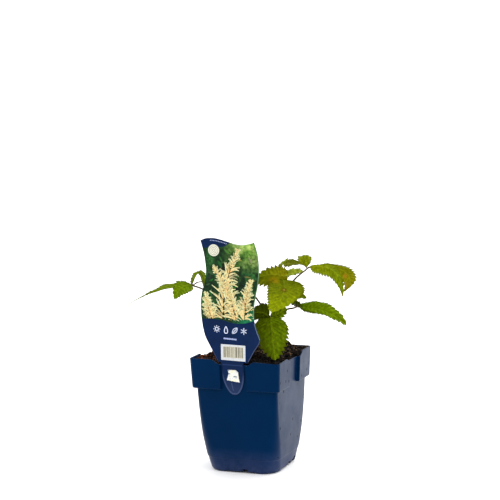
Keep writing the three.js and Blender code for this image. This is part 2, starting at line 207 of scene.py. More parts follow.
def tube(path, radii, sides, seed=0.0, uneven=0.0):
    # a round tube: at each point of the path a ring square to it, narrower at both ends
    along = unit(np.gradient(path, axis=0))
    across = unit(np.cross(along, [0.31, 0.83, -0.17]))
    third = np.cross(along, across)
    radii = np.broadcast_to(radii, len(path)).copy()
    radii[[0, -1]] *= 0.55
    ring = circle(0, 0, 1, sides)
    spokes = ring[:, 0, None] * across[:, None] + ring[:, 1, None] * third[:, None]
    rings = path[:, None] + radii[:, None, None] * spokes
    if uneven:
        push = noiseAt(rings.reshape(-1, 3), 2.4, seed).reshape(rings.shape[:2])
        rings = rings + (rings - path[:, None]) * push[..., None] * uneven
    return closedRings(rings)


def slab(outline, front, back):
    # a flat plate round a middle point: an outline of (x, z) points between two depths y
    rings = [np.insert(np.asarray(outline, float), 1, depth, axis=1) for depth in (back, front)]
    return closedRings(np.stack(rings))


def disc(radius, low, high, sides=40):
    # a round plate between two heights
    ring = circle(0, 0, radius, sides)
    return closedRings(np.stack([np.insert(ring, 2, height, axis=1) for height in (low, high)]))


def box(low, high):
    # the 8 corners of a box and its 6 faces
    ends = np.array([low, high], float)
    corners = [[ends[i, 0], ends[j, 1], ends[k, 2]] for k in (0, 1) for j in (0, 1) for i in (0, 1)]
    quads = [[0, 2, 3, 1], [4, 5, 7, 6], [0, 1, 5, 4], [2, 6, 7, 3], [0, 4, 6, 2], [1, 3, 7, 5]]
    return turnedOut(makePart(corners, quads))


def meshOf(name, part):
    # a mesh in metres in the shared frame, each mark an attribute of its points
    mesh = bpy.data.meshes.new(name)
    faces = part["quads"].tolist() + part["tris"].tolist()
    mesh.from_pydata((part["points"] * mm).tolist(), [], faces)
    for mark, values in part["marks"].items():
        kind, field = ("FLOAT_COLOR", "color") if values.ndim == 2 else ("FLOAT", "value")
        mesh.attributes.new(mark, kind, "POINT").data.foreach_set(field, values.ravel())
    return mesh


def linked(name, data):
    # a new object at the origin
    made = bpy.data.objects.new(name, data)
    bpy.context.scene.collection.objects.link(made)
    return made


def combined(base, tools):
    # the mesh left when each (how, part) tool is joined to or cut from the base part
    work = linked("work", meshOf("work", base))
    helpers = []
    for how, part in tools:
        helper = linked("helper", meshOf("helper", part))
        helpers.append(helper)
        cut = work.modifiers.new("cut", "BOOLEAN")
        cut.operation, cut.object, cut.solver = how, helper, "EXACT"
    bpy.context.view_layer.update()
    mesh = bpy.data.meshes.new_from_object(work.evaluated_get(bpy.context.evaluated_depsgraph_get()))
    for made in [work, *helpers]:
        bpy.data.objects.remove(made)
    return mesh


def finishPiece(name, mesh, material, sharp=35, replaces=()):
    # a piece at the origin, smooth apart from edges bent by more than `sharp` degrees
    mesh.polygons.foreach_set("use_smooth", np.ones(len(mesh.polygons), bool))
    mesh.set_sharp_from_angle(angle=math.radians(sharp))
    mesh.materials.clear()
    mesh.materials.append(material)
    piece = linked(name, mesh)
    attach(piece, "root")
    if replaces:
        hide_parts(*replaces)


def makePiece(name, part, material, sharp=35, replaces=()):
    # a piece straight from a part
    finishPiece(name, meshOf(name, part), material, sharp, replaces)


# Materials

def fromScreen(red, green, blue):
    # a colour as seen on the screen, 0 to 255, turned into linear light
    share = np.array([red, green, blue]) / 255
    return np.where(share <= 0.04045, share / 12.92, ((share + 0.055) / 1.055) ** 2.4)


def colour(red, green, blue):
    # the same as a tuple, with full opacity after it
    return (*fromScreen(red, green, blue), 1.0)


def addNode(tree, kind, inputs=None, **settings):
    # a node whose inputs are linked where a socket is given and set where a value is
    made = tree.nodes.new(kind)
    for key, value in settings.items():
        setattr(made, key, value)
    for key, value in (inputs or {}).items():
        if isinstance(value, bpy.types.NodeSocket):
            tree.links.new(value, made.inputs[key])
        else:
            made.inputs[key].default_value = value
    return made


def newMaterial(name, **sockets):
    # a material, its tree, its shader and the piece's own coordinates
    material = bpy.data.materials.new(name)
    material.use_nodes = True
    tree = material.node_tree
    shader = tree.nodes["Principled BSDF"]
    for key, value in sockets.items():
        shader.inputs[key.replace("_", " ")].default_value = value
    return material, tree, shader, addNode(tree, "ShaderNodeTexCoord").outputs["Object"]


def noiseNode(tree, place, scale, detail=4.0, rough=0.55):
    # cloudy noise around 0.5: `scale` waves to the metre, with finer ones added by `detail`
    inputs = {"Vector": place, "Scale": scale, "Detail": detail, "Roughness": rough}
    return addNode(tree, "ShaderNodeTexNoise", inputs).outputs["Fac"]


def cellNode(tree, place, scale, feature="F1"):
    # the distance to the nearest of scattered points, or to the border between their cells
    inputs = {"Vector": place, "Scale": scale}
    return addNode(tree, "ShaderNodeTexVoronoi", inputs, feature=feature).outputs["Distance"]


def partsOf(tree, place):
    # the sockets X, Y and Z of a place
    return addNode(tree, "ShaderNodeSeparateXYZ", {"Vector": place}).outputs


def vectorNode(tree, how, first, second, output):
    # one sum on two vectors, such as their product or distance
    return addNode(tree, "ShaderNodeVectorMath", {0: first, 1: second}, operation=how).outputs[output]


def mathNode(tree, first, second, how="MULTIPLY"):
    # one sum on two values, their product unless another is named
    return addNode(tree, "ShaderNodeMath", {0: first, 1: second}, operation=how).outputs["Value"]


def readMark(tree, name, output="Fac"):
    # a mark kept at the piece's points
    return addNode(tree, "ShaderNodeAttribute", attribute_name=name).outputs[output]


def rampNode(tree, factor, stops):
    # a blend along a factor between stops of (place, tone in linear light)
    ramp = addNode(tree, "ShaderNodeValToRGB", {"Fac": factor})
    elements = ramp.color_ramp.elements
    while len(elements) < len(stops):
        elements.new(0.5)
    for element, (place, tone) in zip(elements, stops):
        element.position = place
        element.color = (*tone, 1.0)
    return ramp.outputs["Color"]


def screenRamp(tree, factor, stops):
    # a ramp between screen colours
    return rampNode(tree, factor, [(place, fromScreen(*tone)) for place, tone in stops])


def spread(tree, value, low, high, newLow=0.0, newHigh=1.0):
    # newLow where the value is at low, newHigh where it is at high, clamped beyond them
    inputs = {"Value": value, "From Min": low, "From Max": high, "To Min": newLow, "To Max": newHigh}
    return addNode(tree, "ShaderNodeMapRange", inputs).outputs["Result"]


def mixed(tree, factor, first, second, how="MIX"):
    # the first colour at factor 0, and at 1 the second or the blend of both that `how` names
    inputs = {0: factor, 6: first, 7: second}  # the node's factor and its two colours
    return addNode(tree, "ShaderNodeMix", inputs, data_type="RGBA", blend_type=how).outputs[2]


def bumped(tree, shader, height, distance, strength=1.0, under=None):
    # relief in the shading, laid over the relief under it
    inputs = {"Height": height, "Distance": distance, "Strength": strength}
    if under is not None:
        inputs["Normal"] = under
    bump = addNode(tree, "ShaderNodeBump", inputs)
    tree.links.new(bump.outputs["Normal"], shader.inputs["Normal"])
    return bump.outputs["Normal"]


# Camera, light and floor, in metres

print("stage: camera, light and floor")
studio = {
    "azimuth": 21.86, "elevation": 7.25, "roll": -1.35, "distance": 1.84, "lens": 115.2,
    "aim": (0.00136, 0.00054, 0.25224),
    # the world's light at the front and at the back, and the direction that counts as back
    "worldFront": 0.15, "worldBack": 1.7, "worldAxis": (0.15, 0.55, 0.8),
    # how far along that direction the light starts to rise and stops
    "worldSpan": (-0.55, 0.6),
    # each lamp's place, the point that it faces, its diameter and its power
    "lamps": {
        "keyLight": ((-0.9, -1.5, 1.7), (0, 0, 0.15), 1.1, 12.0),
        "backLight": ((0.7, 1.9, 1.6), (0.35, 1.0, 0.0), 1.6, 32.0),
        "fillLight": ((1.6, -0.9, 1.0), (0, 0, 0.15), 1.0, 2.0),
    },
    "floorRadius": 60.0, "floorSides": 96, "floorTop": -0.0002,
    "paper": [(0.93, 0.93, 0.93), (0.95, 0.95, 0.95)],
}


def makeCamera():
    # seen from `azimuth` to the right of the front and `elevation` above level, then rolled
    turn, rise, roll = (math.radians(studio[key]) for key in ("azimuth", "elevation", "roll"))
    back = Vector((math.sin(turn) * math.cos(rise), -math.cos(turn) * math.cos(rise), math.sin(rise)))
    level = Vector((math.cos(turn), math.sin(turn), 0))
    up = back.cross(level)
    across = level * math.cos(roll) + up * math.sin(roll)
    upright = up * math.cos(roll) - level * math.sin(roll)
    data = bpy.data.cameras.new("camera")
    data.sensor_width, data.lens = 36.0, studio["lens"]
    data.clip_start, data.clip_end = 0.05, 200.0
    camera = linked("camera", data)
    camera.location = Vector(studio["aim"]) + back * studio["distance"]
    camera.rotation_mode = "QUATERNION"
    camera.rotation_quaternion = Matrix((across, upright, back)).transposed().to_quaternion()
    bpy.context.scene.camera = camera


def makeLamps():
    # round lamps, each turned to the point that it faces
    for name, (place, target, size, power) in studio["lamps"].items():
        data = bpy.data.lights.new(name, "AREA")
        data.shape, data.size, data.energy = "DISK", size, power
        lamp = linked(name, data)
        lamp.location = place
        lamp.rotation_mode = "QUATERNION"
        lamp.rotation_quaternion = (Vector(target) - Vector(place)).to_track_quat("-Z", "Y")


def makeWorld():
    # brightness rises with the direction's share towards the back (+Y) and above
    world = bpy.data.worlds.new("studio")
    world.use_nodes = True
    tree = world.node_tree
    background = tree.nodes["Background"]
    place = addNode(tree, "ShaderNodeTexCoord").outputs["Generated"]
    towards = vectorNode(tree, "DOT_PRODUCT", place, studio["worldAxis"], "Value")
    ends = (*studio["worldSpan"], studio["worldFront"], studio["worldBack"])
    strength = spread(tree, towards, *ends)
    tree.links.new(strength, background.inputs["Strength"])
    background.inputs["Color"].default_value = (1.0, 1.0, 1.0, 1.0)
    bpy.context.scene.world = world


def makeFloor():
    # a wide disc of paper, just under the pot's feet so that the two never share a plane
    sides = studio["floorSides"]
    outline = np.insert(circle(0, 0, studio["floorRadius"], sides), 2, studio["floorTop"], axis=1)
    mesh = bpy.data.meshes.new("floor")
    mesh.from_pydata(outline.tolist(), [], [list(range(sides))])
    material, tree, shader, place = newMaterial("floorPaper", Roughness=0.9, Specular_IOR_Level=0.1)
    tones = rampNode(tree, noiseNode(tree, place, 3.0), list(zip((0.3, 0.7), studio["paper"])))
    tree.links.new(tones, shader.inputs["Base Color"])
    mesh.materials.append(material)
    linked("floor", mesh)


makeCamera()
makeWorld()
makeFloor()
makeLamps()
bpy.context.scene.view_settings.view_transform = "Standard"

# Pot

print("stage: pot")
potShape = {
    "wall": 1.2, "rimHeight": 133.5, "rimDip": 5.5, "dipInner": 15.5, "dipOuter": 27.0,
    # how far the rim sags at the right front, how far towards that corner the sag begins and is full,
    # and the height above which it comes in and over what rise
    "sag": 2.0, "sagSpan": (27, 54), "sagFrom": 104, "sagRise": 28,
    "collarTopHalf": 55.0, "collarBottomHalf": 53.5, "collarRadius": 4.5,
    "ledgeBelow": 98.3, "ledgeAbove": 99.6, "ledgeHalf": 49.4, "bodyFlare": 0.045,
    "pocketHalf": 16.0, "pocketShift": -1.2, "floorTop": 3.2, "cornerSteps": 14, "leastRadius": 1.5,
    # height, half width and corner radius of the body, from the feet up to the ledge
    "bodyProfile": [
        [0, 39.8, 18.6], [0.8, 40.9, 19.2], [2.4, 41.8, 19.6], [8, 43.1, 19.2], [16, 44.5, 18],
        [16.7, 44.9, 17.9], [30, 46.4, 15], [44, 47.5, 12], [60, 48.2, 9], [80, 48.8, 6.2],
        [98.3, 49.4, 5],
    ],
    # under the floor, a cross-shaped channel round a pad
    "crossDepth": 1.8, "crossHalf": 19.5, "padRadius": 15.0,
    # low and high corners, as at the front, of the notch and the drain hole that every side has, and
    # of the two steps of the opening at the right side's rear foot
    "sideCuts": [((2.5, -50, -1), (9, -33, 4.8)), ((-15, -34, -1), (-5, -25, 6))],
    "rightCuts": [((14.5, -50, -1.02), (20, -37, 4.6)), ((19, -50, -1.03), (28, -36.4, 7.4))],
    # body colour, the paler patchy tone low down, the drips' stain and the reflection tint
    "colour": (0, 28, 63), "paleLow": (76, 82, 122), "stain": (10, 14, 24), "sheen": (0.05, 0.3, 0.5, 1.0),
}


def bodyHalf(z):
    # the body's half width: its profile, and above the ledge a straight slight flare
    low = readRows(potShape["bodyProfile"], z, 1)
    above = z - potShape["ledgeBelow"]
    return np.where(above > 0, potShape["ledgeHalf"] + above * potShape["bodyFlare"], low)


def collarHalf(z):
    # the collar's half width, straight from its lower edge to the rim
    places = [potShape["ledgeAbove"], potShape["rimHeight"]]
    widths = [potShape["collarBottomHalf"], potShape["collarTopHalf"]]
    return np.interp(z, places, widths)


def potRings(rows):
    # rows of (height, inset, collar share): four sides between corner arcs. A side lies at the body's
    # half width, plus on the collar the step out to the collar's, which fades to nothing in the
    # pocket at the middle of the side. The rim dips over the pocket and sags at its right front corner.
    z, inset, share = (np.asarray(rows, float)[:, k][:, None] for k in range(3))
    body = bodyHalf(z)
    step = share * (collarHalf(z) - body)
    outer = readRows(potShape["bodyProfile"], np.minimum(z, potShape["ledgeBelow"]), 2)
    radius = between(outer, potShape["collarRadius"], share) - inset
    radius = np.maximum(radius, potShape["leastRadius"])
    reach = body + step - inset - radius
    edge = potShape["pocketHalf"] + inset
    # a side's columns: beyond the pocket's edge, close to it, and towards the side's middle
    beyond = np.array([27, 25, 23.5, 22, 20.5, 19]) + 0 * inset
    close = edge + np.array([0.9, 0.5, 0.2, 0, -0.15, -0.3, -0.45, -0.6, -0.8, -1.1])
    inner = np.array([12.5, 9, 4.5]) + 0 * inset
    columns = np.hstack([beyond, close, inner])
    offsets = np.hstack([-columns, 0 * inset, columns[:, ::-1]])
    out = body - inset + step * smoothStep(-0.75, 0.25, np.abs(offsets) - edge)
    dip = smoothStep(potShape["dipInner"], potShape["dipOuter"], np.abs(offsets))
    lowered = np.interp(z, [99.6, 116, 133], [0, 0.5, 1]) * potShape["rimDip"] * (1 - dip)
    across = (offsets + potShape["pocketShift"]) * np.minimum(1, reach / 30)
    side = stacked(across, -out, z - lowered)
    angle = np.linspace(-0.5 * math.pi, 0, potShape["cornerSteps"] + 1)
    corner = stacked(reach + radius * np.cos(angle), -reach + radius * np.sin(angle), z)
    quarter = np.concatenate([side, corner], axis=1)
    rings = np.concatenate([turnedUpright(quarter, turn * math.pi / 2) for turn in range(4)], axis=1)
    atCorner = smoothStep(*potShape["sagSpan"], (rings[..., 0] - rings[..., 1]) / 2)
    above = np.clip((rings[..., 2] - potShape["sagFrom"]) / potShape["sagRise"], 0, 1)
    rings[..., 2] -= potShape["sag"] * atCorner * above
    return rings


def potRows():
    # outer surface up from the feet, over the rounded ledge and rim, and down inside to the floor
    wall = potShape["wall"]
    body = [0, 0.3, 0.8, 1.5, 2.4, 4, 6, 8, 10.5, 13, 15.6, 16, 16.35, 16.7, 17.2, 20, 24, 28, 32, 37, 42]
    body += [47, 52, 58, 64, 71, 78, 86, 93, 97.8, 98.3]
    ledge = [(98.42, 0.35), (98.5, 0.7), (98.75, 0.88), (99.1, 0.96), (99.6, 1)]
    rim = [(132.9, 0.02), (133.2, 0.1), (133.42, 0.3), (133.5, 0.6)]
    rim += [(133.42, 0.9), (133.2, 1.1), (132.9, 1.18)]
    rows = [(z, 0, 0) for z in body]
    rows += [(z, 0, share) for z, share in ledge]
    rows += [(z, 0, 1) for z in (101, 104, 108, 112, 116, 121, 126, 130, 132.4)]
    rows += [(z, inset, 1) for z, inset in rim]
    rows += [(z, wall, 1) for z in (132, 128, 122, 116, 108, 100.8)]
    rows += [(z, wall, 0) for z in (98.9, 90, 80, 60, 44, 30, 16, 8, 4.4)]
    rows += [(potShape["floorTop"], wall + 0.8, 0)]
    return rows


def turnedBox(low, high, quarter):
    # a box at the front, carried round to another side by quarter turns
    part = box(low, high)
    return makePart(turnedUpright(part["points"], quarter * math.pi / 2), part["quads"])


def potMaterial():
    # deep blue moulded plastic: fine stipple, cloudy handling marks, paler in patches low down, drips at
    # the right
    material, tree, shader, place = newMaterial("potPlastic", IOR=1.31, Specular_Tint=potShape["sheen"])
    base = fromScreen(*potShape["colour"])
    shade = rampNode(tree, noiseNode(tree, place, 14.0, 5.0), [(0.25, 0.82 * base), (0.75, 1.15 * base)])
    x, y, z = partsOf(tree, place)
    patchy = spread(tree, noiseNode(tree, place, 120.0, 6.0, 0.7), 0.35, 0.65, 0.4, 1.0)
    # paler and bluish grey in patches towards the feet
    lowPaling = mathNode(tree, spread(tree, z, 0.03, 0.004, 0.0, 0.36), patchy)
    shade = mixed(tree, lowPaling, shade, colour(*potShape["paleLow"]))
    drawnOut = vectorNode(tree, "MULTIPLY", place, (1.0, 1.0, 0.6), "Vector")
    specks = spread(tree, cellNode(tree, drawnOut, 120.0), 0.16, 0.12, 0.0, 0.8)
    aside = spread(tree, mathNode(tree, x, y, "ADD"), 0.003, 0.006)
    stained = mathNode(tree, specks, aside)
    shade = mixed(tree, stained, shade, colour(*potShape["stain"]))
    tree.links.new(shade, shader.inputs["Base Color"])
    tree.links.new(spread(tree, stained, 0.0, 0.8, 0.36, 0.03), shader.inputs["Specular IOR Level"])
    rough = spread(tree, noiseNode(tree, place, 38.0, 6.0, 0.65), 0.3, 0.75, 0.3, 0.46)
    tree.links.new(rough, shader.inputs["Roughness"])
    stipple = bumped(tree, shader, noiseNode(tree, place, 900.0, 2.0), 0.00003, 0.35)
    bumped(tree, shader, noiseNode(tree, place, 60.0, 3.0), 0.0002, 0.3, under=stipple)
    return material


def makePot():
    # the rings' body less the channel, with the pad put back, and less every side's cuts
    depth, half, outside = potShape["crossDepth"], potShape["crossHalf"], 60
    tools = [
        ("DIFFERENCE", box([-outside, -half, -1], [outside, half, depth])),
        ("DIFFERENCE", box([-half, -outside, -1.01], [half, outside, depth])),
        ("UNION", disc(potShape["padRadius"], 0, depth + 0.6)),
    ]
    cuts = [(corners, quarter) for quarter in range(4) for corners in potShape["sideCuts"]]
    cuts += [(corners, 1) for corners in potShape["rightCuts"]]
    tools += [("DIFFERENCE", turnedBox(*corners, quarter)) for corners, quarter in cuts]
    mesh = combined(closedRings(potRings(potRows())), tools)
    finishPiece("potShell", mesh, potMaterial(), 38, ("pot",))


makePot()

# Soil

print("stage: soil")
soilShape = {
    "gap": 0.3, "edge": 131.0, "level": 131.0, "mound": 5.0, "rings": 60, "seed": 11,
    # how much higher the soil lies towards the back right, and a clod that stands up there
    "backRise": 1.9, "clod": (30, 39), "clodHeight": 5.5, "clodWidth": 5.5, "clodBody": (4.6, 4.2, 4.5),
    # half width of the field of loose grains, and of each kind of grain the count, least and greatest
    # size, least and greatest stretch, and how far it stands above the soil as a share of its size
    "spreadHalf": 51.0, "crumbs": (2800, (0.4, 1.15), (0.6, 1.3), 0.1),
    "lumps": (130, (1.2, 2.3), (0.6, 1.2), -0.15), "perlite": (7, (0.35, 0.6), (0.8, 1.2), 0.3),
    "frontGrain": (22.6, -44.4), "frontGrainSize": 0.95,
    "fibres": 200, "fibreLength": (4, 13), "fibreHalf": (0.12, 0.32),
    # dark, middle and pale screen colours and the roughness of each material
    "tones": {
        "peat": ((4, 3, 3), (26, 20, 16), (112, 92, 72), 0.95),
        "peatCrumb": ((5, 4, 4), (26, 20, 17), (156, 128, 100), 0.95),
        "peatFibre": ((50, 34, 22), (96, 70, 44), (140, 112, 76), 0.85),
        "perlite": ((196, 194, 188), (226, 225, 220), (242, 241, 238), 0.8),
    },
    # a bluish dark multiplied over the front as painted shadow of the label, and a red tint for the left
    "wet": (96, 96, 112), "reddish": (226, 150, 84),
}


def soilRise(x, y):
    # rises smoothly from the middle towards the back right
    return soilShape["backRise"] * smoothStep(-6, 42, 0.55 * x + 0.75 * y)


def soilHeight(x, y):
    # level plus a mound round the stalks, a clod, long soft lumps, and three finer grades of lumps
    mound = soilShape["mound"] * (1 - smoothStep(8, 46, np.hypot(x + 2, y - 6)))
    fromMiddle = np.maximum(np.abs(x), np.abs(y))
    lumps = np.sin(x * 0.21 + 1) * np.cos(y * 0.17) + 0.6 * np.sin(x * 0.43 - y * 0.31)
    lumps = 0.9 * lumps * (1 - smoothStep(40, 50, fromMiddle))
    flat = stacked(x, y, 0.0)
    fine = 1.3 * noiseAt(flat, 9.0, 1) + 0.9 * noiseAt(flat, 4.0, 2) + 0.5 * noiseAt(flat, 1.7, 3)
    fine = fine * (1 - 0.75 * smoothStep(48, 52.5, fromMiddle))
    clodX, clodY = soilShape["clod"]
    fromClod = np.hypot(x - clodX, y - clodY) / soilShape["clodWidth"]
    clod = soilShape["clodHeight"] * np.exp(-(fromClod**2)) * (1 + 0.35 * noiseAt(flat, 3.0, 4))
    level = soilShape["level"] + soilRise(x, y) * (1 - 0.6 * mound / soilShape["mound"])
    return level + mound + clod + lumps + fine


def soilBody():
    # the pot's inner rings drawn in by a gap, then rings of the top surface in to its middle
    inset = potShape["wall"] + soilShape["gap"]
    rows = [(3.5, inset + 1.2, 0)] + [(z, inset, 0) for z in (8, 16, 30, 60, 99.5)]
    rows += [(z, inset, 1) for z in (101.4, 116, 130.2)]
    edge = potRings([(soilShape["edge"], inset + 0.8, 1)])[0]
    beside = smoothStep(soilShape["edge"] - potShape["rimDip"] * 0.75, soilShape["edge"], edge[:, 2])
    edge[:, 2] += soilRise(edge[:, 0], edge[:, 1]) * (0.25 + 0.75 * beside)
    shares = np.linspace(1, 0, soilShape["rings"] + 1)[:-1, None] ** 0.85
    x, y = edge[:, 0] * shares, edge[:, 1] * shares
    top = stacked(x, y, between(soilHeight(x, y), edge[:, 2], smoothStep(0.93, 1, shares)))
    return closedRings(np.concatenate([potRings(rows), top]))


def pebble():
    # an eight-sided body whose edges are halved once and pushed out to a ball: 32 faces
    corners = [[1, 0, 0], [0, 1, 0], [-1, 0, 0], [0, -1, 0], [0, 0, 1], [0, 0, -1]]
    faces = [[0, 1, 4], [1, 2, 4], [2, 3, 4], [3, 0, 4], [1, 0, 5], [2, 1, 5], [3, 2, 5], [0, 3, 5]]
    points, tris, halves = list(corners), [], {}
    for face in faces:
        middles = []
        for start, end in zip(face, face[1:] + face[:1]):
            key = (min(start, end), max(start, end))
            if key not in halves:
                halves[key] = len(points)
                points.append([(p + q) / 2 for p, q in zip(points[start], points[end])])
            middles.append(halves[key])
        a, b, c = face
        d, e, f = middles
        tris += [[a, d, f], [d, b, e], [f, e, c], [d, e, f]]
    return unit(np.array(points, float)), np.array(tris)


def scattered(random, count, size, stretch, rise):
    # copies of a lumpy pebble laid on the soil: each of a random size, turned and stretched at random,
    # its middle raised by a share of its size
    points, tris = pebble()
    half = soilShape["spreadHalf"]
    x, y = random.uniform(-half, half, (2, count))
    y = np.where((np.abs(x + 3) < 19) & (y < -43), y + 12, y)  # none by the label's neck
    sizes = random.uniform(*size, count)
    lumpy = 1 + 0.45 * random.uniform(-1, 1, (count, len(points), 1))
    scale = sizes[:, None, None] * random.uniform(*stretch, (count, 1, 3))
    turn = random.uniform(0, 2 * math.pi, count)
    local = points * lumpy * scale
    px, py = turnedFlat(local[..., 0], local[..., 1], turn[:, None])
    ground = soilHeight(x, y) + sizes * rise
    places = stacked(px + x[:, None], py + y[:, None], local[..., 2] + ground[:, None])
    allTris = tris + (np.arange(count) * len(points))[:, None, None]
    return makePart(places, (), allTris, grade=np.repeat(random.uniform(0, 1, count) ** 3, len(points)))


def lonePebble(place, size, rise, uneven=0.0):
    # one pebble whose middle stands `rise` above the soil, pushed in or out by up to a share
    points, tris = pebble()
    random = np.random.default_rng(soilShape["seed"] + 1)
    lumpy = points * random.uniform(1 - uneven, 1 + uneven, (len(points), 1)) * size
    middle = [*place, soilHeight(*place) + rise]
    return makePart(lumpy + middle, (), tris, grade=np.zeros(len(points)))


def soilFibres(random):
    # short bent threads lying on the soil, each a four-sided tube, none of them on the clod
    parts = []
    half = soilShape["spreadHalf"]
    share = np.linspace(-0.5, 0.5, 6)
    for _ in range(soilShape["fibres"]):
        x, y = random.uniform(2 - half, half - 2, 2)
        if math.dist((x, y), soilShape["clod"]) < 2.5 * soilShape["clodWidth"]:
            continue
        turn, length = random.uniform(0, 2 * math.pi), random.uniform(*soilShape["fibreLength"])
        bend = random.uniform(-0.5, 0.5)
        px, py = turnedFlat(length * share, length * bend * share**2, turn)
        px, py = np.clip(x + px, -half, half), np.clip(y + py, -half, half)
        ground = soilHeight(px, py)
        pz = (ground + ground.max()) / 2 + random.uniform(-1.0, 1.2) * share
        parts.append(tube(stacked(px, py, pz), random.uniform(*soilShape["fibreHalf"]), 4))
    return joined(parts)


def soilMaterial(name, dark, brown, pale, rough):
    # peat: dark, brown and pale by a noise, by flecks and by each crumb's own grade, with painted
    # shadow of the label over the front, and redder at the left
    material, tree, shader, place = newMaterial(name, Roughness=rough, Specular_IOR_Level=0.08)
    coarse = noiseNode(tree, place, 160.0, 6.0, 0.65)
    shade = screenRamp(tree, coarse, [(0.32, dark), (0.58, brown), (0.74, pale)])
    pale = colour(*pale)
    shade = mixed(tree, spread(tree, cellNode(tree, place, 420.0), 0.1, 0.02, 0.0, 0.6), shade, pale)
    shade = mixed(tree, spread(tree, readMark(tree, "grade"), 0.45, 1.0, 0.0, 0.8), shade, pale)
    x, y, _ = partsOf(tree, place)
    # painted shadow of the label: the front of the soil, from a little left of the middle rightwards,
    # darkened and cooled
    front = mathNode(tree, spread(tree, y, 0.0, -0.034), spread(tree, x, -0.024, -0.004))
    shade = mixed(tree, front, shade, colour(*soilShape["wet"]), "MULTIPLY")
    aside = spread(tree, x, -0.02, -0.03)
    shade = mixed(tree, aside, shade, colour(*soilShape["reddish"]), "MULTIPLY")
    tree.links.new(shade, shader.inputs["Base Color"])
    under = bumped(tree, shader, noiseNode(tree, place, 700.0, 5.0, 0.7), 0.0006, 0.8)
    bumped(tree, shader, coarse, 0.001, 0.5, under=under)
    return material


def makeSoil():
    # the bed, then crumbs, threads and pale grains from one seeded run of draws
    random = np.random.default_rng(soilShape["seed"])
    finish = {name: soilMaterial(name, *tones) for name, tones in soilShape["tones"].items()}
    makePiece("soilBed", soilBody(), finish["peat"], 80, ("soil",))
    body = soilShape["clodBody"]
    crumbs = joined([
        scattered(random, *soilShape["crumbs"]),
        scattered(random, *soilShape["lumps"]),
        lonePebble(soilShape["clod"], body, 0.4 - body[2], 0.15),
    ])
    makePiece("soilCrumbs", crumbs, finish["peatCrumb"], 30)
    makePiece("soilFibres", soilFibres(random), finish["peatFibre"], 60)
    grains = joined([
        scattered(random, *soilShape["perlite"]),
        lonePebble(soilShape["frontGrain"], soilShape["frontGrainSize"], 0.6),
    ])
    makePiece("soilPerlite", grains, finish["perlite"], 30)


makeSoil()

# Label

print("stage: label")
labelShape = {
    "sheet": 0.8, "plane": -52.0, "rows": 70, "columns": 36, "neck": 130.6, "gap": 0.3,
    "tongueHalf": 13.5, "tongueMiddle": -2.8, "tongueLean": 0.05, "tongueBottom": 92.8,
    "tongueRound": 26.0, "stakeBottom": 104.0, "stakeHalf": 12.5,
    # the panel's edges from the top down, and how far its top line lies above a straight one
    "left": [
        (-37.4, 270.4), (-33.5, 254.6), (-31.6, 235.3), (-33.3, 221.6), (-37.3, 210), (-39, 195),
        (-38.3, 177.8), (-35, 160.7), (-30.4, 151.1), (-25.1, 141.5), (-19.2, 130.6),
    ],
    "right": [
        (27.4, 267.4), (31.3, 254.1), (32.7, 237.2), (31.1, 220.3), (27.7, 205.5), (25.6, 191.8),
        (25.8, 178.2), (28.6, 167), (31.9, 156.9), (24.4, 144), (16.4, 130.6),
    ],
    "crest": [-1.2, 1.8, 2.3, 1.2, -0.7, -2.4, -3.2, -1.9, 0.6],
    "navy": (9, 26, 61), "navyShades": (0.88, 1.12), "worn": (34, 46, 78), "raised": (58, 70, 106),
    "crease": (36, 50, 92),
    "sheen": (0.2, 0.4, 0.75, 1.0), "ink": [(232, 232, 232), (255, 255, 255)],
    # prints reach this far into the sheet and stand a little proud of it, those on top further: the
    # lift of each plate, and the half width and lift of each kind of line
    "printSink": 0.02,
    "plates": {"patch": 0.1, "field": 0.13, "stripe": 0.16, "dot": 0.1, "disc": 0.24},
    "strokes": {
        "sign": (0.5, 0.1), "signLine": (0.42, 0.1), "ring": (0.3, 0.28), "edge": (0.34, 0.12),
        "border": (0.8, 0.08), "line": (0.5, 0.08), "crease": (0.6, 0.08),
    },
    # middles of the four signs, ends of the row of dots, and the crest's dots: first, last and count,
    # and how far they lie below the top edge
    "signs": [(-20.1, 168.5), (-8.9, 167.9), (2.1, 167.5), (12.8, 167)], "signTone": (214, 221, 242),
    "dots": [(-11.2, 158), (2.8, 157.2)], "dotSize": 1.05, "dotTone": (160, 170, 212),
    "crestDots": (-25.0, -6.0, 11), "crestDotSize": 0.6, "crestDrop": 2.7,
    "disc": (-21.4, 258.1), "discSize": 6.7, "discTone": (226, 224, 204),
    "ringSizes": (1.4, 3.2, 5.1), "ringTone": (166, 162, 150),
    # the striped patch: its corners, those of the field in it, and where the stripes lie
    "patch": [(-15.7, 133.3), (13.9, 132.4), (14.2, 150.6), (-15.6, 151.3)],
    "field": [(-12.9, 136.1), (11.5, 135.4), (11.6, 148.7), (-12.8, 149)],
    "stripes": [(-12.4, 10.4), (136.4, 148.3)],
    "stripeWidths": (0.5, 0.8, 1.3), "stripeGaps": (0.4, 0.6, 1.1),
    "patchTone": (206, 209, 211), "fieldTone": (206, 200, 178), "stripeTone": (106, 102, 84),
    # the tongue's raised border: its top, where it starts to round and how much lower it ends. Then
    # the raised line down the tongue, and the ends of the crease where it bends.
    "border": (126.5, 111.0, 17.6),
    "line": [(-4.2, 106.5), (-3.7, 103.5), (-3.1, 100.5), (-2.3, 97.6)],
    "creaseEnds": [(-14.6, 127.7), (9.6, 127.2)],
    # stretches of the cut edge that catch light: side, upper and lower height, screen colour
    "litEdges": [
        ("right", 176, 157.5, (104, 122, 142)), ("right", 156.5, 132.4, (74, 84, 112)),
        ("left", 150, 132.4, (52, 62, 96)), ("right", 262, 182, (112, 150, 96)),
    ],
    "litTop": (186, 204, 160),
}
sheetFront = labelShape["plane"] - labelShape["sheet"] / 2


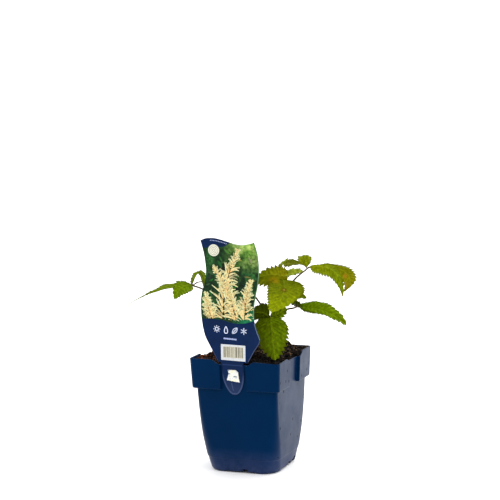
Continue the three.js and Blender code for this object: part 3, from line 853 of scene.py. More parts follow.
def crestAt(share):
    # how far the top line lies above the straight line between the panel's corners
    places = np.linspace(0, 1, len(labelShape["crest"]))
    return readRows(stacked(places, labelShape["crest"]), share, 1)


def edgeAt(side, heights):
    # how far across the panel's edge lies at given heights
    points = curveThrough(labelShape[side], np.linspace(0, 1, 200))[::-1]
    return np.interp(heights, points[:, 1], points[:, 0])


def topEdgeAt(x):
    # the panel's top edge: the straight line between its corners, plus the crest
    (leftX, leftZ), (rightX, rightZ) = labelShape["left"][0], labelShape["right"][0]
    share = np.clip((np.asarray(x, float) - leftX) / (rightX - leftX), 0, 1)
    return between(leftZ, rightZ, share) + crestAt(share)


def labelPanel():
    # rows of points straight across between the two wavy edges, the top row lifted by the crest
    share = np.linspace(0, 1, labelShape["rows"] + 1)
    left, right = (curveThrough(labelShape[side], share) for side in ("left", "right"))
    column = np.linspace(0, 1, labelShape["columns"] + 1)
    places = between(left[:, None], right[:, None], column[:, None])
    places[..., 1] += crestAt(column) * (1 - smoothStep(0, 0.5, share))[:, None]
    front = np.insert(places, 1, sheetFront, axis=2)
    return closedSheet(front, front + [0, labelShape["sheet"], 0])


def labelStrip(rows, middle):
    # a strip of the sheet: at each height a thin oblong of given depth and half width
    z, depth, half = np.asarray(rows, float).T
    thick = labelShape["sheet"] / 2
    corners = [(-1, -1), (1, -1), (1, 1), (-1, 1)]
    rings = [stacked(middle + half * a, depth + thick * b, z) for a, b in corners]
    return closedRings(np.stack(rings, axis=1))


def tongueCentre(z):
    # the tongue leans a little: its middle moves across as it goes down
    return labelShape["tongueMiddle"] + labelShape["tongueLean"] * (labelShape["neck"] - z)


def tongueDepth(z):
    # just outside the front pocket of the pot
    return -(bodyHalf(z) + labelShape["gap"] + 0.1 + labelShape["sheet"] / 2)


def tongueHalfAt(z):
    # rounded off over its lowest stretch
    share = np.clip((labelShape["tongueBottom"] - z) / labelShape["tongueRound"] + 1, 0, 1)
    return labelShape["tongueHalf"] * np.sqrt(np.maximum(1 - share**1.8, 0.004))


def stakeDepth(z):
    # just inside the pot's front wall
    return potShape["wall"] + labelShape["gap"] + 0.15 + labelShape["sheet"] / 2 - bodyHalf(z)


def labelMesh():
    # the panel with a tongue outside the wall and a stake inside it, both bent to the panel's plane
    # as they pass the rim: rows of height, depth and half width
    plane, wide, half = (labelShape[key] for key in ("plane", "tongueHalf", "stakeHalf"))
    rounded = labelShape["tongueRound"] * (1 - np.cos(np.linspace(0, math.pi / 2, 30)))
    curved = labelShape["tongueBottom"] + rounded
    z = np.concatenate([curved, np.linspace(curved[-1] + 1, 128.4, 6)])
    tongue = stacked(z, tongueDepth(z), tongueHalfAt(z)).tolist()
    tongue += [[130.2, (tongueDepth(128.4) + plane) / 2, wide], [132, plane, wide]]
    foot = labelShape["stakeBottom"]
    stake = [
        [foot, stakeDepth(foot), half * 0.6], [foot + 8, stakeDepth(foot + 8), half],
        [128.2, stakeDepth(128.2), half], [129.2, stakeDepth(128.2) - 0.2, half], [130.6, -50.6, half],
        [132, plane, half],
    ]
    hanging = labelStrip(tongue, tongueCentre(np.array(tongue)[:, 0]))
    buried = labelStrip(stake, labelShape["tongueMiddle"])
    return combined(labelPanel(), [("UNION", hanging), ("UNION", buried)])


def printMaterial(name, tones, scale, inked=False):
    # glossy print: slow clouding between two tones, multiplied by each stroke's own ink or, where
    # there is none, paler low on the tongue
    material, tree, shader, place = newMaterial(name, IOR=1.3, Specular_Tint=labelShape["sheen"])
    shade = screenRamp(tree, noiseNode(tree, place, scale), list(zip((0.3, 0.7), tones)))
    if inked:
        shade = mixed(tree, 1.0, shade, readMark(tree, "ink", "Color"), "MULTIPLY")
    else:
        # paler towards the tongue's lower end
        worn = spread(tree, partsOf(tree, place)["Z"], 0.116, 0.1, 0.0, 0.8)
        shade = mixed(tree, worn, shade, colour(*labelShape["worn"]))
    tree.links.new(shade, shader.inputs["Base Color"])
    gloss = spread(tree, noiseNode(tree, place, 90.0), 0.3, 0.7, 0.36, 0.48)
    tree.links.new(gloss, shader.inputs["Roughness"])
    bumped(tree, shader, noiseNode(tree, place, 1500.0, 2.0), 0.00002, 0.3)
    return material


def tinted(part, tone):
    # one ink, as linear light, at every point of a part
    part["marks"]["ink"] = np.tile([*tone, 1.0], (len(part["points"]), 1))
    return part


def patch(outline, lift, tone):
    # a printed plate with a straight-edged outline
    return tinted(slab(outline, sheetFront - lift, sheetFront + labelShape["printSink"]), tone)


def blob(x, z, size, lift, tone, sides=7):
    # a printed round dot
    return patch(circle(x, z, size, sides), lift, tone)


def leftOf(path):
    # at each point of a flat path, the unit direction square to it on its left
    along = unit(np.gradient(path, axis=0))
    return stacked(-along[:, 1], along[:, 0])


def stroke(path, halfWidths, lift, tones, face=None):
    # a printed stroke: a flat ribbon of some half width along a path of (x, z) points, on the sheet's
    # front or on a face at other depths, with one ink or one for each point
    path = np.asarray(path, float)
    count = len(path)
    side = leftOf(path) * np.broadcast_to(halfWidths, count)[:, None]
    depth = np.broadcast_to(sheetFront if face is None else face, count)
    corners = [(-1, -lift), (1, -lift), (1, labelShape["printSink"]), (-1, labelShape["printSink"])]
    rings = [np.insert(path + hand * side, 1, depth + rise, axis=1) for hand, rise in corners]
    part = closedRings(np.stack(rings, axis=1))
    inks = np.repeat(np.broadcast_to(tones, (count, 3)), len(corners), axis=0)
    part["marks"]["ink"] = np.insert(np.vstack([inks, inks[[0, -1]]]), 3, 1.0, axis=1)
    return part


# The label's picture

pictureShape = {
    "seed": 5, "lift": 0.05,
    # the picture's lower and upper edges
    "low": [
        (-39.2, 180.1), (-34.3, 179.6), (-29.4, 179.9), (-20.8, 179.5), (-13.5, 178.9), (-8.6, 177.7),
        (-3.8, 176.3), (6, 175.4), (15.7, 176.4), (20.5, 177.7), (25.4, 179.1),
    ],
    "high": [
        (-35.3, 260), (-28.3, 261.2), (-20.9, 261.5), (-12.4, 262), (-6.2, 263.7), (0, 268), (14, 270),
        (27, 272),
    ],
    # foot, tip, sideways bow and longest twig of each spray of flowers
    "sprays": [
        ((-12, 180), (8, 258), 5, 18), ((4, 180), (-21, 238), -4, 13), ((14, 180), (23, 224), 2, 11),
        ((-26, 180), (-32, 208), 1, 9),
    ],
    # twigs on each side of a spray, points along a twig, and the flowers at random places on it
    "twigs": 38, "twigPoints": 12, "twigHalf": (0.6, 1.0), "twigLift": (0.1, 0.17),
    "flowersOnTwig": 5, "flowerSize": (0.3, 0.6), "flowerLift": (0.18, 0.22),
    # leaves behind: how many, where they start across and up, and the ranges of their tones
    "leaves": 70, "leafField": [(-34, 24), (182, 262)], "leafLength": (5, 10), "leafHalf": (0.8, 1.7),
    "leafLift": 0.08, "leafDark": [(10, 44, 14), (58, 104, 44)],
    "leafLight": [(80, 130, 50), (170, 196, 104)],
    "core": (236, 182, 108), "cream": (240, 218, 150), "pale": (220, 228, 176), "dim": (168, 156, 78),
    # the blurred ground's tones along the noise, and the small flecks over it
    "deep": [(0.3, (8, 20, 10)), (0.5, (22, 56, 28)), (0.7, (50, 104, 48))],
    "fresh": [(0.3, (62, 116, 40)), (0.5, (124, 172, 62)), (0.68, (206, 226, 124))],
    "seaGreen": (20, 112, 70), "flecks": [(0.36, (96, 110, 96)), (0.62, (255, 255, 255))],
    "sheen": (0.5, 0.7, 0.5, 1.0),
}


def maskNode(tree, place, across, up):
    # the product of two ramps: one across the picture and one up it
    x, _, z = partsOf(tree, place)
    return mathNode(tree, spread(tree, x, *across), spread(tree, z, *up))


def pictureMaterial():
    # foliage out of focus: deep greens, fresh green towards the upper right, sea green at the lower
    # right, all broken up by two noises
    material, tree, shader, place = newMaterial(
        "labelPicture", Roughness=0.4, IOR=1.3, Specular_Tint=pictureShape["sheen"]
    )
    blur = noiseNode(tree, place, 85.0, 3.0, 0.5)
    deep, fresh = (screenRamp(tree, blur, pictureShape[key]) for key in ("deep", "fresh"))
    shade = mixed(tree, maskNode(tree, place, (-0.012, 0.02), (0.232, 0.268)), deep, fresh)
    seaward = maskNode(tree, place, (-0.002, 0.012), (0.198, 0.184))
    shade = mixed(tree, seaward, shade, colour(*pictureShape["seaGreen"]))
    flecks = screenRamp(tree, noiseNode(tree, place, 330.0, 4.0, 0.6), pictureShape["flecks"])
    tree.links.new(mixed(tree, 0.8, shade, flecks, "MULTIPLY"), shader.inputs["Base Color"])
    return material


def picturePart():
    # a patch between four curves: the two pairs of opposite sides blended, less the blend of corners
    u, v = np.linspace(0, 1, 61), np.linspace(0, 1, 71)
    low, high = (curveThrough(pictureShape[key], u) for key in ("low", "high"))
    high[:, 1] = np.minimum(high[:, 1], topEdgeAt(high[:, 0]) - 0.03)
    heights = [between(low[end, 1], high[end, 1], v) for end in (0, -1)]
    left, right = (stacked(edgeAt(side, z), z) for side, z in zip(("left", "right"), heights))
    low[0], low[-1], high[0], high[-1] = left[0], right[0], left[-1], right[-1]
    a, b = u[:, None], v[:, None, None]
    grid = between(low, high, b) + between(left[:, None], right[:, None], a)
    grid = grid - between(between(low[0], low[-1], a), between(high[0], high[-1], a), b)
    front = np.insert(grid, 1, sheetFront - pictureShape["lift"], axis=2)
    return closedSheet(front, front + [0, pictureShape["lift"] + labelShape["printSink"], 0])


def sprayParts(random):
    # flowering twigs on both sides of a bowed stem, shorter towards its tip: each a tapering stroke
    # that opens out from the stem by a random angle, curls, and carries small round flowers
    parts = []
    core, cream, pale, dim = (fromScreen(*pictureShape[key]) for key in ("core", "cream", "pale", "dim"))
    for foot, tip, bow, reach in pictureShape["sprays"]:
        foot, tip = np.array(foot, float), np.array(tip, float)
        run = tip - foot
        along = run / np.linalg.norm(run)
        side = np.array([-along[1], along[0]])
        for share in np.linspace(0.0, 1.0, pictureShape["twigs"]):
            centre = foot + run * share + side * bow * math.sin(share * math.pi)
            for hand in (-1, 1):
                length = reach * (1.08 - share) ** 0.75 * random.uniform(0.55, 1.25) + 2
                step = np.linspace(0, 1, pictureShape["twigPoints"])[:, None]
                opening = random.uniform(0.75, 1.25) - 0.45 * share
                turn = hand * (opening + random.uniform(-0.9, 1.2) * step)
                heading = along * np.cos(turn) + side * np.sin(turn)
                path = centre + np.cumsum(heading, axis=0) * length / len(step)
                width = random.uniform(*pictureShape["twigHalf"]) * (1 - 0.5 * step[:, 0] ** 2)
                warm = random.uniform(0.3, 1)
                tones = core * warm * (1 - step) + cream * (1 - warm) * (1 - step) + pale * step
                tones = tones * random.choice([0.5, 0.78, 0.9, 1.0])
                parts.append(stroke(path, width, random.uniform(*pictureShape["twigLift"]), tones))
                for spot in random.uniform(0.1, 1, pictureShape["flowersOnTwig"]):
                    place = path[int(spot * (len(path) - 1))] + random.normal(0, 0.6, 2)
                    tone = (dim, cream, pale)[random.integers(3)] * random.uniform(0.8, 1.05)
                    size = random.uniform(*pictureShape["flowerSize"])
                    lift = random.uniform(*pictureShape["flowerLift"])
                    parts.append(blob(*place, size, lift, tone))
    return parts


def foliageParts(random):
    # leaves behind the flowers: bowed strokes, widest at their middle, fresher towards the upper right
    parts = []
    share = np.linspace(0, 1, 9)
    full = np.sin(np.clip(share, 0.04, 0.96) * math.pi) ** 0.8
    for _ in range(pictureShape["leaves"]):
        x, z = (random.uniform(*span) for span in pictureShape["leafField"])
        turn = random.uniform(0, 2 * math.pi)
        length, bend = random.uniform(*pictureShape["leafLength"]), random.uniform(-1.5, 1.5)
        a, b = turnedFlat(share * length, bend * np.sin(share * math.pi), turn)
        width = random.uniform(*pictureShape["leafHalf"]) * full
        dark = fromScreen(*random.uniform(*pictureShape["leafDark"]))
        light = fromScreen(*random.uniform(*pictureShape["leafLight"]))
        tone = between(dark, light, np.clip((x + z - 240) / 40, 0, 1))
        parts.append(stroke(stacked(x + a, z + b), width, pictureShape["leafLift"], tone))
    return parts


def insidePicture(part):
    # true if the print keeps within the picture's edges
    x, z = part["points"][:, 0], part["points"][:, 2]
    low, high = (np.array(pictureShape[key], float) for key in ("low", "high"))
    floor = np.interp(x, low[:, 0], low[:, 1]) + 0.3
    roof = np.minimum(np.interp(x, high[:, 0], high[:, 1]), topEdgeAt(x)) - 0.5
    beside = np.all(x > edgeAt("left", z) + 0.3) and np.all(x < edgeAt("right", z) - 0.3)
    return bool(beside and np.all(z > floor) and np.all(z < roof))


# The label's signs and edges

def spoke(x, z, turn, distances):
    # points at some distances from a middle in one direction
    return stacked(x + math.cos(turn) * distances, z + math.sin(turn) * distances)


def signParts():
    # plain care signs drawn in strokes: a sun, a drop, a leaf and a snow star
    tone = fromScreen(*labelShape["signTone"])
    (sunX, sunZ), (dropX, dropZ), (leafX, leafZ), (starX, starZ) = labelShape["signs"]
    angle = np.linspace(0, 2 * math.pi, 40)
    across = 2.7 * np.sin(angle) * np.sin(angle / 2) ** 1.2
    thick = [circle(sunX, sunZ, 1.9, 28, True), stacked(dropX + across, dropZ + 4.1 * np.cos(angle))]
    lines = [spoke(sunX, sunZ, turn, np.array([2.9, 3.5, 4.1])) for turn in np.arange(8) * math.pi / 4]
    share = np.linspace(0.02, 0.98, 20)
    for bulge in (-2.2, 2.2, 0):
        bow = 0.7 * bulge * np.sin(share * math.pi)
        lines.append(stacked(leafX - 3.4 + 6.4 * share - bow, leafZ - 3.6 + 6.8 * share + bow))
    arm = np.linspace(-3.8, 3.8, 5)
    lines += [spoke(starX, starZ, turn, arm) for turn in np.arange(3) * math.pi / 3 + 0.5]
    strokes = labelShape["strokes"]
    parts = [stroke(path, *strokes["sign"], tone) for path in thick]
    return parts + [stroke(path, *strokes["signLine"], tone) for path in lines]


def dotParts():
    # a row of dots under the signs and a row of smaller ones along the crest
    tone = fromScreen(*labelShape["dotTone"])
    first, last = np.array(labelShape["dots"])
    row = between(first, last, np.linspace(0, 1, 8)[:, None])
    lift = labelShape["plates"]["dot"]
    parts = [blob(x, z, labelShape["dotSize"], lift, tone, 9) for x, z in row]
    crest = np.linspace(*labelShape["crestDots"])
    size, drop = labelShape["crestDotSize"], labelShape["crestDrop"]
    return parts + [blob(x, topEdgeAt(x) - drop, size, lift, tone) for x in crest]


def discParts():
    # a plain pale disc with three fine rings on it
    middle, tone, ring = (labelShape[key] for key in ("disc", "discTone", "ringTone"))
    parts = [blob(*middle, labelShape["discSize"], labelShape["plates"]["disc"], fromScreen(*tone), 40)]
    rings = [circle(*middle, radius, 28, True) for radius in labelShape["ringSizes"]]
    return parts + [stroke(path, *labelShape["strokes"]["ring"], fromScreen(*ring)) for path in rings]


def codeParts(random):
    # a pale patch, a beige field in it, and upright stripes of random widths and tones on the field
    lift = labelShape["plates"]
    parts = [
        patch(labelShape["patch"], lift["patch"], fromScreen(*labelShape["patchTone"])),
        patch(labelShape["field"], lift["field"], fromScreen(*labelShape["fieldTone"])),
    ]
    (x, end), (low, high) = labelShape["stripes"]
    while x < end:
        width = random.choice(labelShape["stripeWidths"])
        tone = np.array(labelShape["stripeTone"]) + random.uniform(-16, 30)
        corners = [(x, low), (x + width, low), (x + width, high), (x, high + 0.1)]
        parts.append(patch(corners, lift["stripe"], fromScreen(*tone)))
        x += width + random.choice(labelShape["stripeGaps"])
    return parts


def tongueStrokes():
    # a raised border round the tongue, a raised line down its middle and a crease where it bends
    top, turn, drop = labelShape["border"]
    rounded = turn - drop * np.sin(np.linspace(0, math.pi / 2, 22))
    z = np.concatenate([np.linspace(top, turn + 1, 8), rounded])
    middle, half = tongueCentre(z), tongueHalfAt(z)
    outline = np.concatenate([stacked(middle - half, z), stacked(middle + half, z)[-2::-1]])
    border = outline + 0.95 * leftOf(outline)
    line = np.array(labelShape["line"])
    neck = np.linspace(*labelShape["creaseEnds"], 9)
    plain, raised, crease = (fromScreen(*labelShape[key]) for key in ("navy", "raised", "crease"))
    fading = between(plain, raised, smoothStep(121, 107, border[:, 1])[:, None])
    lines = {"border": (border, fading), "line": (line, raised), "crease": (neck, crease)}
    return [
        stroke(path, *labelShape["strokes"][kind], tone, tongueDepth(path[:, 1]) - labelShape["sheet"] / 2)
        for kind, (path, tone) in lines.items()
    ]


def edgeStrokes():
    # the sheet's cut edge catching light at both sides and along the right of its top
    x = np.linspace(1, 26, 24)
    lines = [(stacked(x, topEdgeAt(x) - 0.4), labelShape["litTop"])]
    for side, high, low, tone in labelShape["litEdges"]:
        z = np.linspace(high, low, 24)
        inward = -0.4 if side == "right" else 0.4
        lines.append((stacked(edgeAt(side, z) + inward, z), tone))
    return [stroke(path, *labelShape["strokes"]["edge"], fromScreen(*tone)) for path, tone in lines]


def makeLabel():
    # the sheet, its picture and the prints on both, each kind of print as one piece
    random = np.random.default_rng(pictureShape["seed"])
    navy = [np.array(labelShape["navy"]) * share for share in labelShape["navyShades"]]
    plastic = printMaterial("labelNavy", navy, 60.0)
    ink = printMaterial("labelInk", labelShape["ink"], 500.0, inked=True)
    finishPiece("labelSheet", labelMesh(), plastic, replaces=("label",))
    makePiece("labelPicture", picturePart(), pictureMaterial())
    prints = {
        "labelFoliage": [part for part in foliageParts(random) if insidePicture(part)],
        "labelFlowers": [part for part in sprayParts(random) if insidePicture(part)],
        "labelSigns": discParts() + signParts() + dotParts(),
        "labelStripes": codeParts(random),
        "labelEdges": tongueStrokes() + edgeStrokes(),
    }
    for name, parts in prints.items():
        makePiece(name, joined(parts), ink)


makeLabel()

# Sticker

print("stage: sticker")
stickerShape = {
    "thick": 0.4, "rings": 15, "edgePoints": 160,
    # how far the outline is drawn in, how far noise frays it, and how deep two noises crumple it
    "drawnIn": 0.25, "fray": 0.28, "crumple": (0.1, 0.05),
    "outline": [
        (-8.1, 122.1), (1.7, 122), (4.6, 119.9), (5, 114.1), (5.9, 107.8), (-1.4, 108.5), (-9.9, 109.8),
        (-8.5, 114.5), (-7.7, 118),
    ],
    # paper tones along the noise: a few worn blue-grey spots, off-white, and yellowed patches
    "tones": [
        (0.33, (60, 76, 100)), (0.4, (206, 208, 206)), (0.52, (226, 226, 222)),
        (0.68, (220, 214, 172)),
    ],
}


def stickerPart():
    # the torn outline, frayed by noise, drawn in to its middle in rings and crumpled in depth
    corners = np.array(stickerShape["outline"] + stickerShape["outline"][:1], float)
    steps = np.arange(len(corners))
    at = np.linspace(0, steps[-1], stickerShape["edgePoints"], endpoint=False)
    edge = stacked(*(np.interp(at, steps, corners[:, k]) for k in (0, 1)))
    middle = edge.mean(0)
    fray = noiseAt(np.insert(edge, 1, 0, axis=1), 1.1, 7)[:, None] * stickerShape["fray"]
    edge = edge + unit(edge - middle) * (fray - stickerShape["drawnIn"])
    shares = np.linspace(0.04, 1, stickerShape["rings"])
    flat = between(middle, edge, shares[:, None, None])
    spots = np.insert(flat, 1, 0, axis=2)
    coarse, fine = stickerShape["crumple"]
    crumple = coarse * noiseAt(spots, 3.2, 5) + fine * noiseAt(spots, 1.2, 6)
    face = tongueDepth(flat[..., 1]) - labelShape["sheet"] / 2 - labelShape["gap"]
    thick = stickerShape["thick"]
    front = stacked(flat[..., 0], face - thick * 0.75 + crumple, flat[..., 1])
    back = stacked(flat[..., 0], face - thick * 0.2, flat[..., 1])
    return closedRings(np.concatenate([front, back[::-1]]))


def paperMaterial():
    # rough off-white paper, clouded by one noise and fibrous by another
    material, tree, shader, place = newMaterial("tornPaper", Roughness=0.8, Specular_IOR_Level=0.2)
    shade = screenRamp(tree, noiseNode(tree, place, 300.0, 3.0, 0.6), stickerShape["tones"])
    tree.links.new(shade, shader.inputs["Base Color"])
    bumped(tree, shader, noiseNode(tree, place, 1400.0, 5.0), 0.0001, 0.5)
    return material


makePiece("tornSticker", stickerPart(), paperMaterial(), 50, ("label_sticker",))

# Leaves

print("stage: leaves")
bladeLook = {
    "thick": 0.5, "tipHalf": 0.4, "toothPitch": 4.6, "toothHeight": 2.9, "perTooth": 15,
    # where in its step a tooth peaks, how far it points forward, how much the big teeth differ, and
    # how high the small ones are beside them
    "apex": 0.78, "toothForward": 1.4, "unevenTeeth": 0.4, "smallTeeth": 0.4,
    # how many teeth further on a side vein ends than it starts: a share of the width, and at most
    "veinSlant": 0.62, "veinReach": 3.2,
    "quilt": 0.42, "groove": 0.35, "arch": 0.9, "wave": 0.5, "veinDepth": 0.22,
    # where the blade has its columns, as shares of the way out from the rib
    "columns": [
        0, 0.03, 0.07, 0.13, 0.2, 0.28, 0.37, 0.46, 0.55, 0.64, 0.72, 0.79, 0.85, 0.9, 0.94, 0.97, 1,
    ],
    # radii of a leaf's stalk at its foot and top, and of a side stalk and a leaflet's stalk at the end
    "stalkFoot": 1.5, "stalkTop": 0.95, "sideEnd": 0.6, "leafletEnd": 0.4,
    "stalkLow": (70, 52, 42), "stalkHigh": (92, 78, 62),
    # reflection tint; pale of veins and cell borders, partly own colour, partly painted highlight; burnt
    # edges
    "sheen": (0.55, 0.65, 0.02, 1.0), "veinPaleAndHighlight": (160, 176, 20), "burnt": (58, 58, 2),
    "underside": (110, 122, 24),
    # how a mottling noise darkens the leaf's own tint
    "mottling": [(0.3, (0.36, 0.42, 0.3)), (0.5, (0.66, 0.66, 0.6)), (0.7, (1.1, 1.04, 1.0))],
    # discoloured places: middle, radius and screen colour
    "spots": [
        ((46.9, -12.9, 208.9), 5.0, (70, 26, 0)), ((46.9, -12.9, 208.9), 1.6, (190, 150, 84)),
        ((31.6, -4.5, 215.5), 8.5, (150, 116, 10)), ((88, 80, 203), 7.5, (120, 94, 20)),
        ((91, 76, 214), 4.0, (150, 104, 20)), ((97, 48, 197), 4.0, (112, 78, 20)),
    ],
}
# each leaflet: four points along its midrib, how far its edges reach to the left and right, how its
# outline fills near base and tip, and its screen colours at base and tip: its own green with painted
# shade in it, darker on leaflets that lie in shade. A side stalk branches off the leaf's stalk, and
# the leaflet numbered onSide starts at its end. Veining is how strongly the veins, the mottling and
# the painted shade and highlight of the quilting show, and a numbered leaflet's pair of half factors
# paints shade over one half and light over the other.
leafTable = {
    "leaf_left": {
        "veining": 0.5,
        "stalk": [
            [-12, 2, 112], [-14, 1, 128], [-21, -2, 152], [-35, -6, 189], [-54, -10, 206],
            [-65, -15, 211],
        ],
        "side": [[-65, -15, 211], [-64, -4, 213], [-63, 11, 212]],
        "leaflets": [
            ([[-69, -16, 214], [-92, -19, 210], [-114, -22, 203], [-143, -27, 187]],
             [-7, 14, 1], [6, -14, 0], 1.9, 3.2, (104, 132, 6), (98, 112, 22)),
            ([[-66, -17, 212], [-68, -30, 212], [-70, -43, 209], [-70, -56, 201]],
             [-9, 2, 6], [8, -2, -5], 0.6, 0.9, (92, 120, 0), (94, 124, 0)),
            ([[-66, -15, 212], [-65, -3, 225], [-64, 12, 219], [-67, 23, 199]],
             [0, -8, 0], [-1, 11, 0], 0.5, 0.6, (122, 146, 22), (104, 124, 22)),
        ],
    },
    "leaf_upper_right": {
        "veining": 0.5,
        "stalk": [
            [-6, 9, 112], [-4, 9, 128], [4, 12, 147], [23, 19, 174], [30, 21, 192], [44, 31, 215],
            [57, 40, 227],
        ],
        "leaflets": [
            ([[61, 40, 230], [77, 37, 229], [91, 40, 222], [97, 48, 194]],
             [-1, -10, -6], [2, 10, 3], 0.55, 0.75, (131, 141, 6), (104, 124, 4)),
            ([[57, 43, 228], [74, 62, 227], [92, 78, 216], [88, 83, 195]],
             [-5, -9, -4], [6, 9, 2], 0.7, 0.5, (104, 118, 1), (134, 128, 4)),
            ([[55, 42, 228], [54, 44, 232], [51, 48, 237], [49, 52, 241]],
             [9, -2, 1], [-9, 0, -1], 1.5, 0.8, (132, 144, 8), (140, 152, 14)),
            ([[54, 42, 229], [45, 46, 232], [34, 49, 232], [22, 54, 228]],
             [1, -5, 5], [-2, 6, -5], 1.7, 0.55, (142, 150, 36), (130, 138, 38)),
        ],
    },
    "leaf_centre": {
        "veining": 0.45,
        "stalk": [
            [-5, -2, 112], [-4, -2, 128], [3, 0, 145], [13, 3, 168], [21, 5, 184], [29, 5, 205],
            [36, 4, 216],
        ],
        "side": [[36, 4, 216], [32, 9, 224], [30, 12, 229]],
        "leaflets": [
            ([[40, 1, 219], [47, -13, 209], [48, -30, 199], [45, -47, 189]],
             [-15, -10, 4], [20, 13, -1], 0.45, 0.85, (84, 95, 0), (146, 160, 6)),
            ([[44, 8, 220], [35, 0, 224], [23, -8, 224], [4, -14, 218]],
             [0, 9, 9], [0, -8, -12], 0.4, 0.7, (128, 121, 6), (98, 112, 4)),
            ([[35, 8, 222], [42, 16, 224], [49, 24, 225], [54, 32, 225]],
             [-3, 9, 3], [3, -8, -2], 0.5, 0.8, (126, 140, 34), (140, 152, 44)),
            ([[30, 12, 229], [31, 19, 233], [33, 26, 236], [35, 36, 239]],
             [4, -8, 0], [-4, 8, 0], 0.6, 0.9, (112, 126, 12), (120, 136, 20)),
            ([[37, 6, 214], [46, 12, 208], [54, 18, 201], [60, 26, 194]],
             [-1, 9, 2], [0, -8, -3], 0.6, 0.8, (92, 110, 4), (84, 104, 6)),
        ],
        "onSide": 3,
    },
    "leaf_lower_right": {
        "veining": 0.6,
        "stalk": [
            [-2, 3, 112], [-1, 3, 128], [7, 5, 145], [24, 8, 170], [39, 12, 182], [48, 18, 184],
            [52, 21, 186],
        ],
        "leaflets": [
            ([[52, 21, 186], [68, 24, 183], [85, 30, 178], [103, 41, 162]],
             [-1, 12, 7.2], [1, -7.6, -3.8], 0.66, 0.62, (96, 126, 3), (102, 126, 4)),
            ([[54, 24, 185], [48, 29, 186], [41, 35, 187], [33, 41, 187]],
             [3, -5, 4], [-3, 5, -4], 0.5, 0.6, (72, 88, 10), (70, 84, 10)),
            ([[53, 23, 184], [54, 34, 181], [55, 47, 177], [58, 59, 171]],
             [-1, 6, 2], [1, -5, -2], 0.6, 0.7, (76, 96, 6), (70, 90, 6)),
        ],
    },
    "leaf_front": {
        "veining": 1.0,
        "stalk": [
            [-8, -7, 112], [-9, -8, 128], [-14, -12, 155], [-10, -12, 192], [-1, -9, 206],
            [9, -8, 200], [17, -8, 190], [30, -15, 178],
        ],
        "leaflets": [
            ([[32, -18, 178], [36, -26, 164], [41, -35, 149], [46, -43, 134]],
             [-19.5, -4.8, -1.2], [16.4, 10.2, -1], 0.33, 0.88, (100, 126, 4), (72, 96, 2)),
            ([[29, -16, 178], [24, -16, 182], [16, -17, 183], [2, -19, 179]],
             [2, 7, 10], [0, -4, -9], 0.45, 0.6, (62, 82, 3), (58, 78, 3)),
            ([[31, -16, 178], [36, -10, 180], [40, -5, 182], [45, 1, 185]],
             [-4, 4, 5], [4, -2, -5], 0.55, 0.6, (106, 132, 3), (108, 132, 3)),
        ],
        # painted shade over the front leaflet's left half and painted light over its right half
        "paintedHalfShade": {0: (0.55, 1.12)},
    },
}


def ribAt(rib, t):
    # the cubic that passes the midrib's four points at 0, 1/3, 2/3 and 1
    t = np.asarray(t, float)
    third, twoThirds = t - 1 / 3, t - 2 / 3
    shares = stacked(
        -4.5 * third * twoThirds * (t - 1), 13.5 * t * twoThirds * (t - 1),
        -13.5 * t * third * (t - 1), 4.5 * t * third * twoThirds,
    )
    return shares @ np.asarray(rib, float)


def sawTooth(phase):
    # rises in a bow to 1 at the apex of each whole step, then falls back steeply to 0
    apex = bladeLook["apex"]
    p = phase - np.floor(phase)
    return np.where(p < apex, (p / apex) ** 0.8, (1 - p) / (1 - apex))


